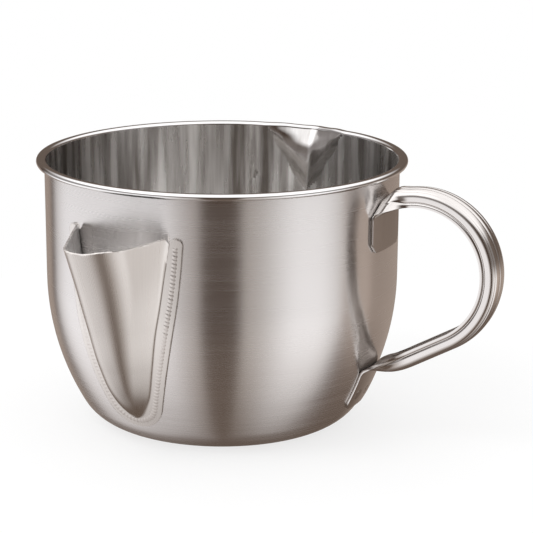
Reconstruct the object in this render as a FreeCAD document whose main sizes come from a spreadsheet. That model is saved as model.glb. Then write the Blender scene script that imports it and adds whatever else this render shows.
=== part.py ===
import FreeCAD, Part
import math
import os

import Sketcher
from FreeCAD import Placement, Rotation, Vector

# A stainless pouring pot: a drawn bowl with a rolled rim and a pressed pouring lip, a pressed
# side spout that draws from low on the bowl, and a fluted strap handle. Millimetres. The origin
# is the centre of the flat underside, +Z is up and +X points at the handle.

SIZES = {
    # bowl
    "sheet": (0.7, "thickness of the bowl and side spout sheet"),
    "wall_radius": (66.95, "outside of the wall just under the rim"),
    "wall_top": (100.8, "height of the wall, at the middle of the rolled rim"),
    "wall_draft": (0.26, "lean of the wall, degrees"),
    "belly_radius": (96.2, "long curve from the wall down to the heel"),
    "heel_radius": (18.2, "tight curve from the belly into the flat base"),
    "base_radius": (38.0, "flat disc that the bowl stands on"),
    # rolled rim
    "rim_radius": (70.0, "outermost radius of the rolled rim"),
    "roll_half_width": (1.875, "half the width of the rolled rim"),
    "roll_half_height": (1.2, "half the height of the rolled rim"),
    "roll_gap": (0.4, "slot between the rolled edge and the wall"),
    # pouring lip
    "lip_azimuth": (85.0, "direction of the pouring lip from the handle, degrees"),
    "lip_back": (62.0, "plane inside the wall from which the trough's sections start"),
    "lip_shoulder": (12.0, "rounding where the rim turns into the lip"),
    # side spout
    "spout_azimuth": (262.7, "direction of the side spout from the handle, degrees"),
    "spout_mouth": (85.4, "height of the mouth above the line of the wall"),
    "spout_mouth_fall": (4.8, "fall of the mouth's edge towards the nose, degrees"),
    "spout_back": (48.0, "plane inside the wall from which the spout's sections start"),
    "flange_foot": (9.8, "height of the flange's lowest point"),
    "flange_foot_radius": (12.6, "rounding of the flange's foot"),
    "flange_side_radius": (220.0, "long curve of the flange's sides"),
    "flange_half": (24.8, "half the width of the flange at its rounded ends"),
    "flange_end": (82.9, "height of the middle of the flange's rounded ends"),
    "flange_end_radius": (2.5, "rounding of the flange's ends"),
    "weld_inset": (1.6, "margin from the flange's edge to the seam weld"),
    "weld_half": (1.0, "half the width of the seam weld"),
    "weld_depth": (0.35, "depth of the seam weld in the flange"),
    "feed_hole": (4.6, "bore of the feed holes behind the side spout"),
    "feed_pitch": (7.4, "spacing of the feed holes"),
    "feed_height": (22.0, "height of the lowest feed hole"),
    # handle
    "strap": (1.0, "thickness of the handle strap"),
    "grip_half": (5.85, "half the width of the grip's channel"),
    "grip_depth": (6.5, "depth of the grip's channel"),
    "grip_corner": (1.8, "rounding of the channel's corners"),
    "flute_depth": (0.3, "depth of the two grooves along the grip's crown"),
    "flute_place": (1.6, "distance of each of these grooves from the middle"),
    "flute_half": (0.9, "half the width of each of these grooves"),
    "hem_depth": (0.28, "depth of the groove along each side of the grip"),
    "hem_place": (1.9, "distance of this groove from the open edge"),
    "hem_half": (0.8, "half the width of this groove"),
    "grip_upper_radius": (24.2, "upper curve of the grip, along its open edges"),
    "grip_lower_radius": (25.5, "lower curve of the grip, along its open edges"),
    "grip_reach": (105.6, "outermost point of the grip's open edges, from the axis"),
    "grip_height": (66.6, "height of that outermost point"),
    "grip_rise": (30.0, "rise of the strap where it leaves the upper tab, degrees"),
    "grip_slope": (29.1, "fall of the strap towards the lower tab, degrees"),
    "upper_spread": (10.0, "length over which the upper tab narrows into the grip"),
    "lower_spread": (20.0, "length over which the grip flattens into the lower tab"),
    "upper_tab_half": (12.2, "half the width of the upper tab"),
    "upper_tab_foot": (73.4, "height of the upper tab's lower edge"),
    "upper_tab_top": (87.2, "height of the arched fold at the upper tab's sides"),
    "upper_tab_crest": (91.25, "height of that fold at its middle"),
    "upper_tab_roof": (5.3, "half the width of the level middle of that fold"),
    "upper_bend": (0.18, "share of their full bend that the strap's sides have at that fold"),
    "lower_tab_half": (9.3, "half the width of the lower tab"),
    "lower_tab_foot": (11.5, "height of the lower tab's lower edge"),
    "lower_tab_top": (26.8, "height of the fold at the lower tab"),
    "tab_chamfer": (3.0, "cut corners of both tabs"),
    "nugget": (4.4, "diameter of a spot weld"),
    "upper_nugget_height": (79.6, "height of the upper spot welds"),
    "upper_nugget_side": (5.2, "distance of the upper spot welds from the middle"),
    "lower_nugget_height": (16.6, "height of the lower spot welds"),
    "lower_nugget_side": (4.0, "distance of the lower spot welds from the middle"),
    # shapes that only cut or carry the others
    "slice": (60.0, "slice of the bowl's form that a blank is cut from, degrees"),
    "border_half": (60.0, "half the width of the border cut away round a blank"),
    "border_top": (120.0, "top of that border"),
    "trim_length": (60.0, "length of the cut that opens the side spout's mouth"),
    "trim_height": (12.0, "height of that cut"),
    "grip_root": (3.0, "length of the grip that is trimmed away inside the wall"),
}

# Plan sections of the two pressed spouts, from the lowest to the highest. Each has its height,
# the reach of its nose from the axis, the rounding of the nose, and the angle in plan between its
# sides and the tangent of the wall, in degrees.
LIP_SECTIONS = [
    (75.5, 66.8, 2.0, 14.0),
    (79.0, 67.75, 3.0, 16.0),
    (88.0, 69.5, 4.0, 20.2),
    (97.0, 71.4, 4.5, 23.5),
    (100.8, 73.25, 5.0, 28.0),
]
SPOUT_SECTIONS = [
    (13.2, 56.3, 1.4, 30.0),
    (16.0, 60.6, 2.6, 41.7),
    (24.0, 68.3, 4.4, 48.2),
    (36.0, 75.0, 5.4, 49.5),
    (52.0, 81.2, 6.0, 52.4),
    (70.0, 88.1, 6.4, 58.1),
    (88.0, 95.6, 6.6, 61.8),
]
SECTION_PARTS = ("height", "reach", "nose", "slope")
FULL_TURN = 360.0
CROWN_STEPS = 5      # steps across half the strap's crown
CORNER_STEPS = 3     # steps round its corner
SIDE_STEPS = 5       # steps down its side
UPPER_SETTLE = 6.0   # length past the upper tab over which the grip's sections stay close
BEND_STATIONS = 8    # sections round the grip's two curves

doc = FreeCAD.newDocument("PouringPot")


def make_sheet():
    """Write every driving size into the spreadsheet, one row each."""
    rows = [(alias, value, meaning) for alias, (value, meaning) in SIZES.items()]
    for prefix, sections in (("lip", LIP_SECTIONS), ("spout", SPOUT_SECTIONS)):
        for number, section in enumerate(sections):
            for part, value in zip(SECTION_PARTS, section):
                rows.append((f"{prefix}_{part}_{number}", value, f"{prefix} section {number}"))
    sheet = doc.addObject("Spreadsheet::Sheet", "Sizes")
    for row, (alias, value, meaning) in enumerate(rows, start=1):
        sheet.set(f"A{row}", meaning)
        sheet.set(f"B{row}", str(value))
        sheet.setAlias(f"B{row}", alias)
    doc.recompute()
    return sheet


sizes = make_sheet()


def size(alias):
    """Read one driving size back from the spreadsheet."""
    return float(sizes.get(alias))


# ---------------------------------------------------------------- sketch and feature helpers

def new_body(name, azimuth=None):
    """An empty body, turned about the bowl's axis by an angle on the sheet."""
    body = doc.addObject("PartDesign::Body", name)
    body.Label = name
    if azimuth:
        body.Placement = Placement(Vector(), Rotation(Vector(0, 0, 1), size(azimuth)))
        body.setExpression("Placement.Rotation.Angle", f"Sizes.{azimuth} * 1 deg")
    return body


def new_sketch(body, name, role):
    """A sketch on one of the body's own origin planes."""
    sketch = body.newObject("Sketcher::SketchObject", name)
    plane = next(item for item in body.Origin.OriginFeatures if item.Role == role)
    sketch.AttachmentSupport = [(plane, "")]
    sketch.MapMode = "FlatFace"
    return sketch


def constrain(sketch, constraints):
    for kind, refs in constraints:
        sketch.addConstraint(Sketcher.Constraint(kind, *refs))


def chain(sketch, kind, count, first=0, close=True):
    """Join count pieces of the sketch end to start, and the last to the first."""
    pairs = [(first + step, first + step + 1) for step in range(count - 1)]
    if close:
        pairs.append((first + count - 1, first))
    constrain(sketch, [(kind, (before, 2, after, 1)) for before, after in pairs])


def bind(sketch, name, kind, refs, value, expression):
    """Add a driving constraint and tie it to the spreadsheet."""
    index = sketch.addConstraint(Sketcher.Constraint(kind, *refs, value))
    sketch.renameConstraint(index, name)
    sketch.setExpression("Constraints." + name, expression)


def arc(centre, radius, start, end):
    """A sketch arc by centre, radius and its two angles in degrees."""
    circle = Part.Circle(Vector(*centre, 0), Vector(0, 0, 1), radius)
    return Part.ArcOfCircle(circle, math.radians(start), math.radians(end))


def line(start, end):
    return Part.LineSegment(Vector(*start, 0), Vector(*end, 0))


def revolve(body, name, sketch, kind="Revolution", angle=FULL_TURN):
    """Turn a sketch about the bowl's axis, adding or (with Groove) cutting."""
    feature = body.newObject("PartDesign::" + kind, name)
    feature.Profile = sketch
    feature.ReferenceAxis = (sketch, ["V_Axis"])
    feature.Angle = angle
    feature.Midplane = angle < FULL_TURN
    return feature


def pocket(body, name, sketch, one_way=False):
    """Cut a sketch right through the body, to both sides of its plane or only away from the axis."""
    feature = body.newObject("PartDesign::Pocket", name)
    feature.Profile = sketch
    feature.Length = size("border_top") * (1 if one_way else 2)
    feature.Midplane = not one_way
    feature.Reversed = one_way
    return feature


def loft(body, name, sections, kind):
    """Join plan sections from the lowest to the highest."""
    feature = body.newObject(f"PartDesign::{kind}Loft", name)
    feature.Profile = sections[0]
    feature.Sections = sections[1:]
    return feature


# ---------------------------------------------------------------- outlines shared by the pieces

def bowl_outline(body, name, inset=0.0, inset_text="0"):
    """Half outline of the bowl, moved into the metal by inset, closed along the axis.

    Going round: base, heel, belly, wall, top, axis. The heel and belly are tangent arcs.
    """
    base, heel, belly = size("base_radius"), size("heel_radius"), size("belly_radius")
    top, wall = size("wall_top"), size("wall_radius") - inset
    draft = math.radians(size("wall_draft"))
    between = belly - heel
    offset = base + belly * math.cos(draft) - size("wall_radius")
    offset += (top - heel + belly * math.sin(draft)) * math.tan(draft)
    turn = draft + math.acos(math.cos(draft) * offset / between)
    belly_centre = (base - between * math.cos(turn), heel + between * math.sin(turn))
    knee = (belly_centre[0] + (belly - inset) * math.cos(draft),
            belly_centre[1] - (belly - inset) * math.sin(draft))
    join = -math.degrees(turn)
    sketch = new_sketch(body, name, "XZ_Plane")
    sketch.addGeometry([
        line((0, inset), (base, inset)),
        arc((base, heel), heel - inset, -90, join),
        arc(belly_centre, belly - inset, join, -size("wall_draft")),
        line(knee, (wall, top)),
        line((wall, top), (0, top)),
        line((0, top), (0, inset)),
    ])
    chain(sketch, "Tangent", 4, close=False)
    chain(sketch, "Coincident", 3, first=3, close=False)
    constrain(sketch, [
        ("Coincident", (5, 2, 0, 1)), ("Horizontal", (0,)), ("Horizontal", (4,)),
        ("Vertical", (5,)), ("PointOnObject", (0, 1, -2)),
    ])
    bind(sketch, "base", "DistanceX", (0, 1, 0, 2), base, "Sizes.base_radius")
    bind(sketch, "heel", "Radius", (1,), heel - inset, f"Sizes.heel_radius - {inset_text}")
    bind(sketch, "belly", "Radius", (2,), belly - inset, f"Sizes.belly_radius - {inset_text}")
    bind(sketch, "wall", "DistanceX", (-1, 1, 3, 2), wall, f"Sizes.wall_radius - {inset_text}")
    bind(sketch, "top", "DistanceY", (-1, 1, 3, 2), top, "Sizes.wall_top")
    bind(sketch, "centre", "DistanceY", (-1, 1, 1, 3), heel, "Sizes.heel_radius")
    bind(sketch, "draft", "Angle", (3,), math.pi / 2 - draft, "90 - Sizes.wall_draft")
    return sketch


def plan_section(body, name, prefix, number, inset_text="0"):
    """Plan section of a pressed spout: a chord inside the wall, two sides and a rounded nose.

    The sides touch the nose's arc and lean by the section's slope; inset moves the whole section
    into the metal.
    """
    height, reach, nose, slope = (size(f"{prefix}_{part}_{number}") for part in SECTION_PARTS)
    inset = 0.0 if inset_text == "0" else size("sheet")
    back, lean = size(f"{prefix}_back"), math.radians(slope)
    centre, nose = reach - nose, nose - inset
    touch = (centre + nose * math.cos(lean), nose * math.sin(lean))
    half = (centre * math.cos(lean) + nose - back * math.cos(lean)) / math.sin(lean)
    sketch = new_sketch(body, name, "XY_Plane")
    sketch.AttachmentOffset = Placement(Vector(0, 0, height), Rotation())
    sketch.setExpression("AttachmentOffset.Base.z", f"Sizes.{prefix}_height_{number} * 1 mm")
    sketch.addGeometry([
        line((back, -half), (touch[0], -touch[1])),
        arc((centre, 0), nose, -slope, slope),
        line(touch, (back, half)),
        line((back, half), (back, -half)),
    ])
    constrain(sketch, [
        ("Tangent", (0, 2, 1, 1)), ("Tangent", (1, 2, 2, 1)), ("Coincident", (2, 2, 3, 1)),
        ("Coincident", (3, 2, 0, 1)), ("Symmetric", (3, 1, 3, 2, -1)),
        ("PointOnObject", (1, 3, -1)),
    ])
    bind(sketch, "back", "DistanceX", (-1, 1, 3, 1), back, f"Sizes.{prefix}_back")
    bind(sketch, "nose", "Radius", (1,), nose, f"Sizes.{prefix}_nose_{number} - {inset_text}")
    bind(sketch, "reach", "DistanceX", (-1, 1, 1, 3), centre,
         f"Sizes.{prefix}_reach_{number} - Sizes.{prefix}_nose_{number}")
    bind(sketch, "slope", "Angle", (0,), math.radians(90 - slope),
         f"90 - Sizes.{prefix}_slope_{number}")
    return sketch


def spout_sections(body, prefix, count, kind, inset_text="0"):
    """Loft a pressed spout through all its plan sections."""
    sections = [plan_section(body, f"{prefix}_{kind}_{number}", prefix, number, inset_text)
                for number in range(count)]
    return loft(body, f"{prefix}_{kind}_loft", sections, kind)


def flange_chain(sketch, tag, inset, inset_text, first):
    """Foot arc and two side arcs of the side spout's flange, moved inwards by inset."""
    foot, side = size("flange_foot_radius") - inset, size("flange_side_radius") - inset
    foot_height, end_height = size("flange_foot") + size("flange_foot_radius"), size("flange_end")
    half = size("flange_half") - inset
    shift, span = side - foot, math.hypot(half, end_height - foot_height)
    turn = math.acos((side * side - shift * shift - span * span) / (2 * shift * span))
    turn -= math.atan2(end_height - foot_height, half)
    centre = (-shift * math.cos(turn), foot_height + shift * math.sin(turn))
    lean, rise = math.degrees(turn), math.degrees(math.asin((end_height - centre[1]) / side))
    sketch.addGeometry([
        arc((0, foot_height), foot, -180 + lean, -lean),
        arc(centre, side, -lean, rise),
        arc((-centre[0], centre[1]), side, 180 - rise, 180 + lean),
    ])
    right, left = first + 1, first + 2
    constrain(sketch, [
        ("Tangent", (first, 2, right, 1)), ("Tangent", (left, 2, first, 1)),
        ("PointOnObject", (first, 3, -2)), ("Symmetric", (right, 2, left, 1, -2)),
    ])
    bind(sketch, tag + "foot", "Radius", (first,), foot, f"Sizes.flange_foot_radius - {inset_text}")
    bind(sketch, tag + "foot_height", "DistanceY", (-1, 1, first, 3), foot_height,
         "Sizes.flange_foot + Sizes.flange_foot_radius")
    bind(sketch, tag + "right", "Radius", (right,), side, f"Sizes.flange_side_radius - {inset_text}")
    bind(sketch, tag + "left", "Radius", (left,), side, f"Sizes.flange_side_radius - {inset_text}")
    bind(sketch, tag + "half", "DistanceX", (-1, 1, right, 2), half,
         f"Sizes.flange_half - {inset_text}")
    bind(sketch, tag + "end", "DistanceY", (-1, 1, right, 2), end_height, "Sizes.flange_end")
    ends = [sketch.getPoint(right, 2), sketch.getPoint(left, 1)]
    return right, left, ends


# ---------------------------------------------------------------- the bowl

def roll_profile(body):
    """Section of the rolled rim: the sheet turned outwards and down to just short of the wall."""
    sheet, wide, high = size("sheet"), size("roll_half_width"), size("roll_half_height")
    centre, level = size("rim_radius") - wide, size("wall_top")
    flat = wide - high
    free = centre - wide + sheet + size("roll_gap")
    inner, hollow = high - sheet, level - high + sheet
    sketch = new_sketch(body, "roll_profile", "XZ_Plane")
    sketch.addGeometry([
        arc((-centre + flat, level), high, 0, 90),
        line((-centre + flat, level + high), (-centre - flat, level + high)),
        arc((-centre - flat, level), high, 90, 270),
        line((-centre - flat, level - high), (-free, level - high)),
        line((-free, level - high), (-free, hollow)),
        line((-free, hollow), (-centre - flat, hollow)),
        arc((-centre - flat, level), inner, 90, 270),
        line((-centre - flat, level + inner), (-centre + flat, level + inner)),
        arc((-centre + flat, level), inner, 0, 90),
        line((-centre + flat + inner, level), (-centre + wide, level)),
    ])
    constrain(sketch, [
        ("Tangent", (0, 2, 1, 1)), ("Tangent", (1, 2, 2, 1)), ("Tangent", (2, 2, 3, 1)),
        ("Coincident", (3, 2, 4, 1)), ("Coincident", (4, 2, 5, 1)), ("Tangent", (5, 2, 6, 2)),
        ("Tangent", (6, 1, 7, 1)), ("Tangent", (7, 2, 8, 2)), ("Coincident", (8, 1, 9, 1)),
        ("Coincident", (9, 2, 0, 1)), ("Coincident", (0, 3, 8, 3)), ("Coincident", (2, 3, 6, 3)),
        ("Horizontal", (1,)), ("Vertical", (4,)), ("Horizontal", (9,)), ("Equal", (0, 2)),
        ("Equal", (6, 8)), ("Horizontal", (3,)), ("Horizontal", (5,)),
    ])
    bind(sketch, "level", "DistanceY", (-1, 1, 0, 3), level, "Sizes.wall_top")
    bind(sketch, "wall_level", "DistanceY", (-1, 1, 9, 1), level, "Sizes.wall_top")
    bind(sketch, "curl", "Radius", (0,), high, "Sizes.roll_half_height")
    bind(sketch, "hollow", "Radius", (8,), inner, "Sizes.roll_half_height - Sizes.sheet")
    bind(sketch, "near", "DistanceX", (0, 3, -1, 1), centre - flat,
         "Sizes.rim_radius - 2 * Sizes.roll_half_width + Sizes.roll_half_height")
    bind(sketch, "far", "DistanceX", (2, 3, -1, 1), centre + flat,
         "Sizes.rim_radius - Sizes.roll_half_height")
    bind(sketch, "free", "DistanceX", (3, 2, -1, 1), free,
         "Sizes.rim_radius - 2 * Sizes.roll_half_width + Sizes.sheet + Sizes.roll_gap")
    return sketch


def rim_path(body):
    """Middle line of the rolled rim: round the wall and out round the pouring lip."""
    top = len(LIP_SECTIONS) - 1
    slope = size(f"lip_slope_{top}")
    lean = math.radians(slope)
    ring, shoulder = size("rim_radius") - size("roll_half_width"), size("lip_shoulder")
    tip = size(f"lip_nose_{top}") + size("roll_half_width") - size("sheet")
    centre = size(f"lip_reach_{top}") - size(f"lip_nose_{top}")
    reach = centre * math.cos(lean) + tip
    turn = lean - math.acos((reach + shoulder) / (ring + shoulder))
    pivot = ((ring + shoulder) * math.cos(turn), (ring + shoulder) * math.sin(turn))
    bend = (pivot[0] - shoulder * math.cos(lean), pivot[1] - shoulder * math.sin(lean))
    nose = (centre + tip * math.cos(lean), tip * math.sin(lean))
    off = math.degrees(turn)
    sketch = new_sketch(body, "rim_path", "XY_Plane")
    sketch.AttachmentOffset = Placement(Vector(0, 0, size("wall_top")), Rotation())
    sketch.setExpression("AttachmentOffset.Base.z", "Sizes.wall_top * 1 mm")
    sketch.addGeometry([
        arc((0, 0), ring, 180, 360 - off),
        arc((pivot[0], -pivot[1]), shoulder, 180 - slope, 180 - off),
        line((bend[0], -bend[1]), (nose[0], -nose[1])),
        arc((centre, 0), tip, -slope, slope),
        line(nose, bend),
        arc(pivot, shoulder, 180 + off, 180 + slope),
        arc((0, 0), ring, off, 180),
    ])
    constrain(sketch, [
        ("Tangent", (0, 2, 1, 2)), ("Tangent", (1, 1, 2, 1)), ("Tangent", (2, 2, 3, 1)),
        ("Tangent", (3, 2, 4, 1)), ("Tangent", (4, 2, 5, 2)), ("Tangent", (5, 1, 6, 1)),
        ("Coincident", (6, 2, 0, 1)), ("Coincident", (0, 3, -1, 1)), ("Coincident", (6, 3, -1, 1)),
        ("PointOnObject", (0, 1, -1)), ("PointOnObject", (3, 3, -1)), ("Equal", (1, 5)),
    ])
    bind(sketch, "ring", "Radius", (0,), ring, "Sizes.rim_radius - Sizes.roll_half_width")
    bind(sketch, "shoulder", "Radius", (1,), shoulder, "Sizes.lip_shoulder")
    bind(sketch, "tip", "Radius", (3,), tip,
         f"Sizes.lip_nose_{top} + Sizes.roll_half_width - Sizes.sheet")
    bind(sketch, "reach", "DistanceX", (-1, 1, 3, 3), centre,
         f"Sizes.lip_reach_{top} - Sizes.lip_nose_{top}")
    bind(sketch, "lower", "Angle", (2,), math.radians(90 - slope), f"90 - Sizes.lip_slope_{top}")
    bind(sketch, "upper", "Angle", (4,), math.radians(90 + slope), f"90 + Sizes.lip_slope_{top}")
    return sketch


def feed_holes(body):
    """A triangle of holes, one, two and three to a row, through the wall behind the side spout."""
    turn = size("spout_azimuth") - size("lip_azimuth")
    sketch = new_sketch(body, "feed_hole_places", "YZ_Plane")
    sketch.AttachmentOffset = Placement(Vector(), Rotation(Vector(0, 1, 0), turn))
    sketch.setExpression("AttachmentOffset.Rotation.Angle",
                         "(Sizes.spout_azimuth - Sizes.lip_azimuth) * 1 deg")
    pitch, lowest, radius = size("feed_pitch"), size("feed_height"), size("feed_hole") / 2
    places = [(row, column - row / 2) for row in range(3) for column in range(row + 1)]
    for index, (row, side) in enumerate(places):
        across, height = side * pitch, lowest + row * pitch
        sketch.addGeometry(Part.Circle(Vector(across, height, 0), Vector(0, 0, 1), radius))
        bind(sketch, f"bore_{index}", "Radius", (index,), radius, "Sizes.feed_hole / 2")
        bind(sketch, f"height_{index}", "DistanceY", (-1, 1, index, 3), height,
             f"Sizes.feed_height + {row} * Sizes.feed_pitch")
        bind(sketch, f"across_{index}", "DistanceX", (-1, 1, index, 3), across,
             f"{side} * Sizes.feed_pitch")
    return pocket(body, "feed_holes", sketch, one_way=True)


def make_bowl():
    """Drawn bowl in one sheet: shell, pressed lip, rolled rim and feed holes. The lip is at +X."""
    body = new_body("pot_body", "lip_azimuth")
    revolve(body, "drawn_bowl", bowl_outline(body, "bowl_outside"))
    spout_sections(body, "lip", len(LIP_SECTIONS), "Additive")
    cavity = bowl_outline(body, "bowl_inside", size("sheet"), "Sizes.sheet")
    revolve(body, "bowl_cavity", cavity, "Groove")
    spout_sections(body, "lip", len(LIP_SECTIONS), "Subtractive", "Sizes.sheet")
    feed_holes(body)
    path, profile = rim_path(body), roll_profile(body)
    rim = body.newObject("PartDesign::AdditivePipe", "rolled_rim")
    rim.Profile = profile
    rim.Spine = path
    rim.Mode = "Frenet"
    return body


# ---------------------------------------------------------------- the side spout

def flange_outline(body):
    """Outline of the side spout's blank, seen from the front: foot, sides and rounded ends."""
    sketch = new_sketch(body, "flange_outline", "YZ_Plane")
    right, left, ends = flange_chain(sketch, "", 0.0, "0", 0)
    radius = size("flange_end_radius")
    inner = [(ends[0].x - 2 * radius, ends[0].y), (ends[1].x + 2 * radius, ends[1].y)]
    sketch.addGeometry([
        arc((ends[0].x - radius, ends[0].y), radius, 0, 180),
        line(*inner),
        arc((ends[1].x + radius, ends[1].y), radius, 0, 180),
    ])
    constrain(sketch, [
        ("Tangent", (right, 2, 3, 1)), ("Coincident", (3, 2, 4, 1)), ("Coincident", (4, 2, 5, 1)),
        ("Tangent", (5, 2, left, 1)), ("Horizontal", (4,)),
    ])
    bind(sketch, "end_right", "Radius", (3,), radius, "Sizes.flange_end_radius")
    bind(sketch, "end_left", "Radius", (5,), radius, "Sizes.flange_end_radius")
    bind(sketch, "end_top", "DistanceY", (-1, 1, 3, 2), ends[0].y, "Sizes.flange_end")
    return sketch


def weld_outline(body):
    """Outline of the seam weld: a ribbon that follows the flange between two inner lines."""
    sketch = new_sketch(body, "weld_outline", "YZ_Plane")
    near, wide = size("weld_inset"), 2 * size("weld_half")
    right, left, outer = flange_chain(sketch, "outer_", near, "Sizes.weld_inset", 0)
    text = "(Sizes.weld_inset + 2 * Sizes.weld_half)"
    right_in, left_in, inner = flange_chain(sketch, "inner_", near + wide, text, 3)
    radius = (outer[0].x - inner[0].x) / 2
    sketch.addGeometry([
        arc((outer[0].x - radius, outer[0].y), radius, 0, 180),
        arc((outer[1].x + radius, outer[1].y), radius, 0, 180),
    ])
    constrain(sketch, [
        ("Tangent", (right, 2, 6, 1)), ("Coincident", (6, 2, right_in, 2)),
        ("Coincident", (7, 1, left_in, 1)), ("Tangent", (7, 2, left, 1)),
    ])
    return sketch


def add_border(sketch):
    """Put a wide rectangle round a sketch's outline, to cut away all that lies outside it."""
    first = sketch.GeometryCount
    half, top = size("border_half"), size("border_top")
    corners = [(-half, -half), (half, -half), (half, top), (-half, top)]
    sketch.addGeometry([line(corners[side], corners[(side + 1) % 4]) for side in range(4)])
    chain(sketch, "Coincident", 4, first=first)
    constrain(sketch, [
        ("Horizontal", (first,)), ("Horizontal", (first + 2,)),
        ("Vertical", (first + 1,)), ("Vertical", (first + 3,)),
    ])
    bind(sketch, "border_left", "DistanceX", (first, 1, -1, 1), half, "Sizes.border_half")
    bind(sketch, "border_right", "DistanceX", (-1, 1, first, 2), half, "Sizes.border_half")
    bind(sketch, "border_low", "DistanceY", (first, 1, -1, 1), half, "Sizes.border_half")
    bind(sketch, "border_top", "DistanceY", (-1, 1, first + 2, 1), top, "Sizes.border_top")
    return sketch


def mouth_trim(body):
    """Side view of all that lies above the spout's mouth, whose edge falls towards the nose."""
    sketch = new_sketch(body, "mouth_trim", "XZ_Plane")
    back, fall = size("spout_back"), math.radians(size("spout_mouth_fall"))
    start = size("spout_mouth") + (size("wall_radius") - back) * math.tan(fall)
    length, above = size("trim_length"), size("trim_height")
    end = (back + length, start - length * math.tan(fall))
    sketch.addGeometry([
        line((back, start), end),
        line(end, (end[0], start + above)),
        line((end[0], start + above), (back, start + above)),
        line((back, start + above), (back, start)),
    ])
    chain(sketch, "Coincident", 4)
    constrain(sketch, [("Vertical", (1,)), ("Horizontal", (2,)), ("Vertical", (3,))])
    bind(sketch, "back", "DistanceX", (-1, 1, 0, 1), back, "Sizes.spout_back")
    bind(sketch, "fall", "Angle", (0,), -fall, "-Sizes.spout_mouth_fall")
    bind(sketch, "mouth", "DistanceY", (-1, 1, 0, 1), start,
         "Sizes.spout_mouth + (Sizes.wall_radius - Sizes.spout_back)"
         " * tan(Sizes.spout_mouth_fall * 1 deg)")
    bind(sketch, "length", "DistanceX", (2, 2, 2, 1), length, "Sizes.trim_length")
    bind(sketch, "above", "DistanceY", (3, 2, 3, 1), above, "Sizes.trim_height")
    return sketch


def sector(body, name, inset, inset_text):
    """A solid slice of the bowl's form, wide enough for the side spout."""
    outline = bowl_outline(body, name + "_outline", inset, inset_text)
    feature = revolve(body, name, outline, angle=size("slice"))
    feature.setExpression("Angle", "Sizes.slice")
    return feature


def make_spout_blank():
    """Pressed side spout before welding: a flange on the wall and a pocket that stands out of it.

    The spout faces +X here, and its body is turned to its place on the bowl.
    """
    body = new_body("spout_blank", "spout_azimuth")
    sector(body, "flange_form", -size("sheet"), "(-Sizes.sheet)")
    pocket(body, "flange_blanking", add_border(flange_outline(body)))
    spout_sections(body, "spout", len(SPOUT_SECTIONS), "Additive")
    spout_sections(body, "spout", len(SPOUT_SECTIONS), "Subtractive", "Sizes.sheet")
    pocket(body, "mouth_cut", mouth_trim(body))
    revolve(body, "wall_seat", bowl_outline(body, "seat_outline"), "Groove")
    return body


def make_weld_tool():
    """Ribbon along the flange from its outer face down to the depth of the seam weld."""
    body = new_body("weld_form", "spout_azimuth")
    sector(body, "weld_sector", -2 * size("sheet"), "(-2 * Sizes.sheet)")
    pocket(body, "weld_blanking", add_border(weld_outline(body)))
    depth = size("weld_depth") - size("sheet")
    text = "(Sizes.weld_depth - Sizes.sheet)"
    revolve(body, "weld_root", bowl_outline(body, "root_outline", depth, text), "Groove")
    return body


# ---------------------------------------------------------------- the handle

def smooth(share):
    """Ease from 0 to 1 with no corner at either end."""
    share = min(max(share, 0.0), 1.0)
    return share * share * (3.0 - 2.0 * share)


def grip_line():
    """The line of the grip's open edges in the XZ plane, as (point, heading) by length.

    It leaves the wall at the upper tab, goes over and down in two tangent arcs, and comes back to
    the wall at the lower tab in a straight run.
    """
    rise, fall = math.radians(size("grip_rise")), math.radians(size("grip_slope"))
    upper, lower = size("grip_upper_radius"), size("grip_lower_radius")
    reach, height = size("grip_reach"), size("grip_height")
    start = Vector(reach - upper - upper * math.sin(rise), 0, height + upper * math.cos(rise))
    wall = size("wall_radius")
    lead = (start.x - wall) / math.cos(rise)
    arrive = Vector(reach - lower + lower * math.sin(fall), 0, height - lower * math.cos(fall))
    foot = size("lower_tab_top")
    tail = (arrive.z - foot) / math.sin(fall)
    runs = [lead, upper * (math.pi / 2 + rise), lower * (math.pi / 2 - fall), tail]

    def place(length):
        """Point and heading (radians above +X) at a length along the line."""
        if length <= runs[0]:
            back = runs[0] - length
            return start - Vector(math.cos(rise), 0, math.sin(rise)) * back, rise
        length -= runs[0]
        if length <= runs[1]:
            turn = math.pi / 2 + rise - length / upper
            middle = Vector(reach - upper, 0, height)
            return middle + Vector(math.cos(turn), 0, math.sin(turn)) * upper, turn - math.pi / 2
        length -= runs[1]
        if length <= runs[2]:
            turn = -length / lower
            middle = Vector(reach - lower, 0, height)
            return middle + Vector(math.cos(turn), 0, math.sin(turn)) * lower, turn - math.pi / 2
        length -= runs[2]
        heading = fall - math.pi
        return arrive + Vector(math.cos(heading), 0, math.sin(heading)) * length, heading

    return place, runs


def section_marks(half):
    """Distances from the strap's middle, along the flat sheet, of the points of its section."""
    flat, bent = size("grip_half") - size("grip_corner"), size("grip_corner") * math.pi / 2
    marks = [flat * step / CROWN_STEPS for step in range(CROWN_STEPS)]
    marks += [flat + bent * step / CORNER_STEPS for step in range(CORNER_STEPS)]
    side = half - flat - bent
    return marks + [flat + bent + side * step / SIDE_STEPS for step in range(SIDE_STEPS + 1)]


def groove(offset, kind):
    """Depth of one of the strap's grooves at a distance from its middle line."""
    return size(kind + "_depth") * math.exp(-(offset / size(kind + "_half")) ** 2)


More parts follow.
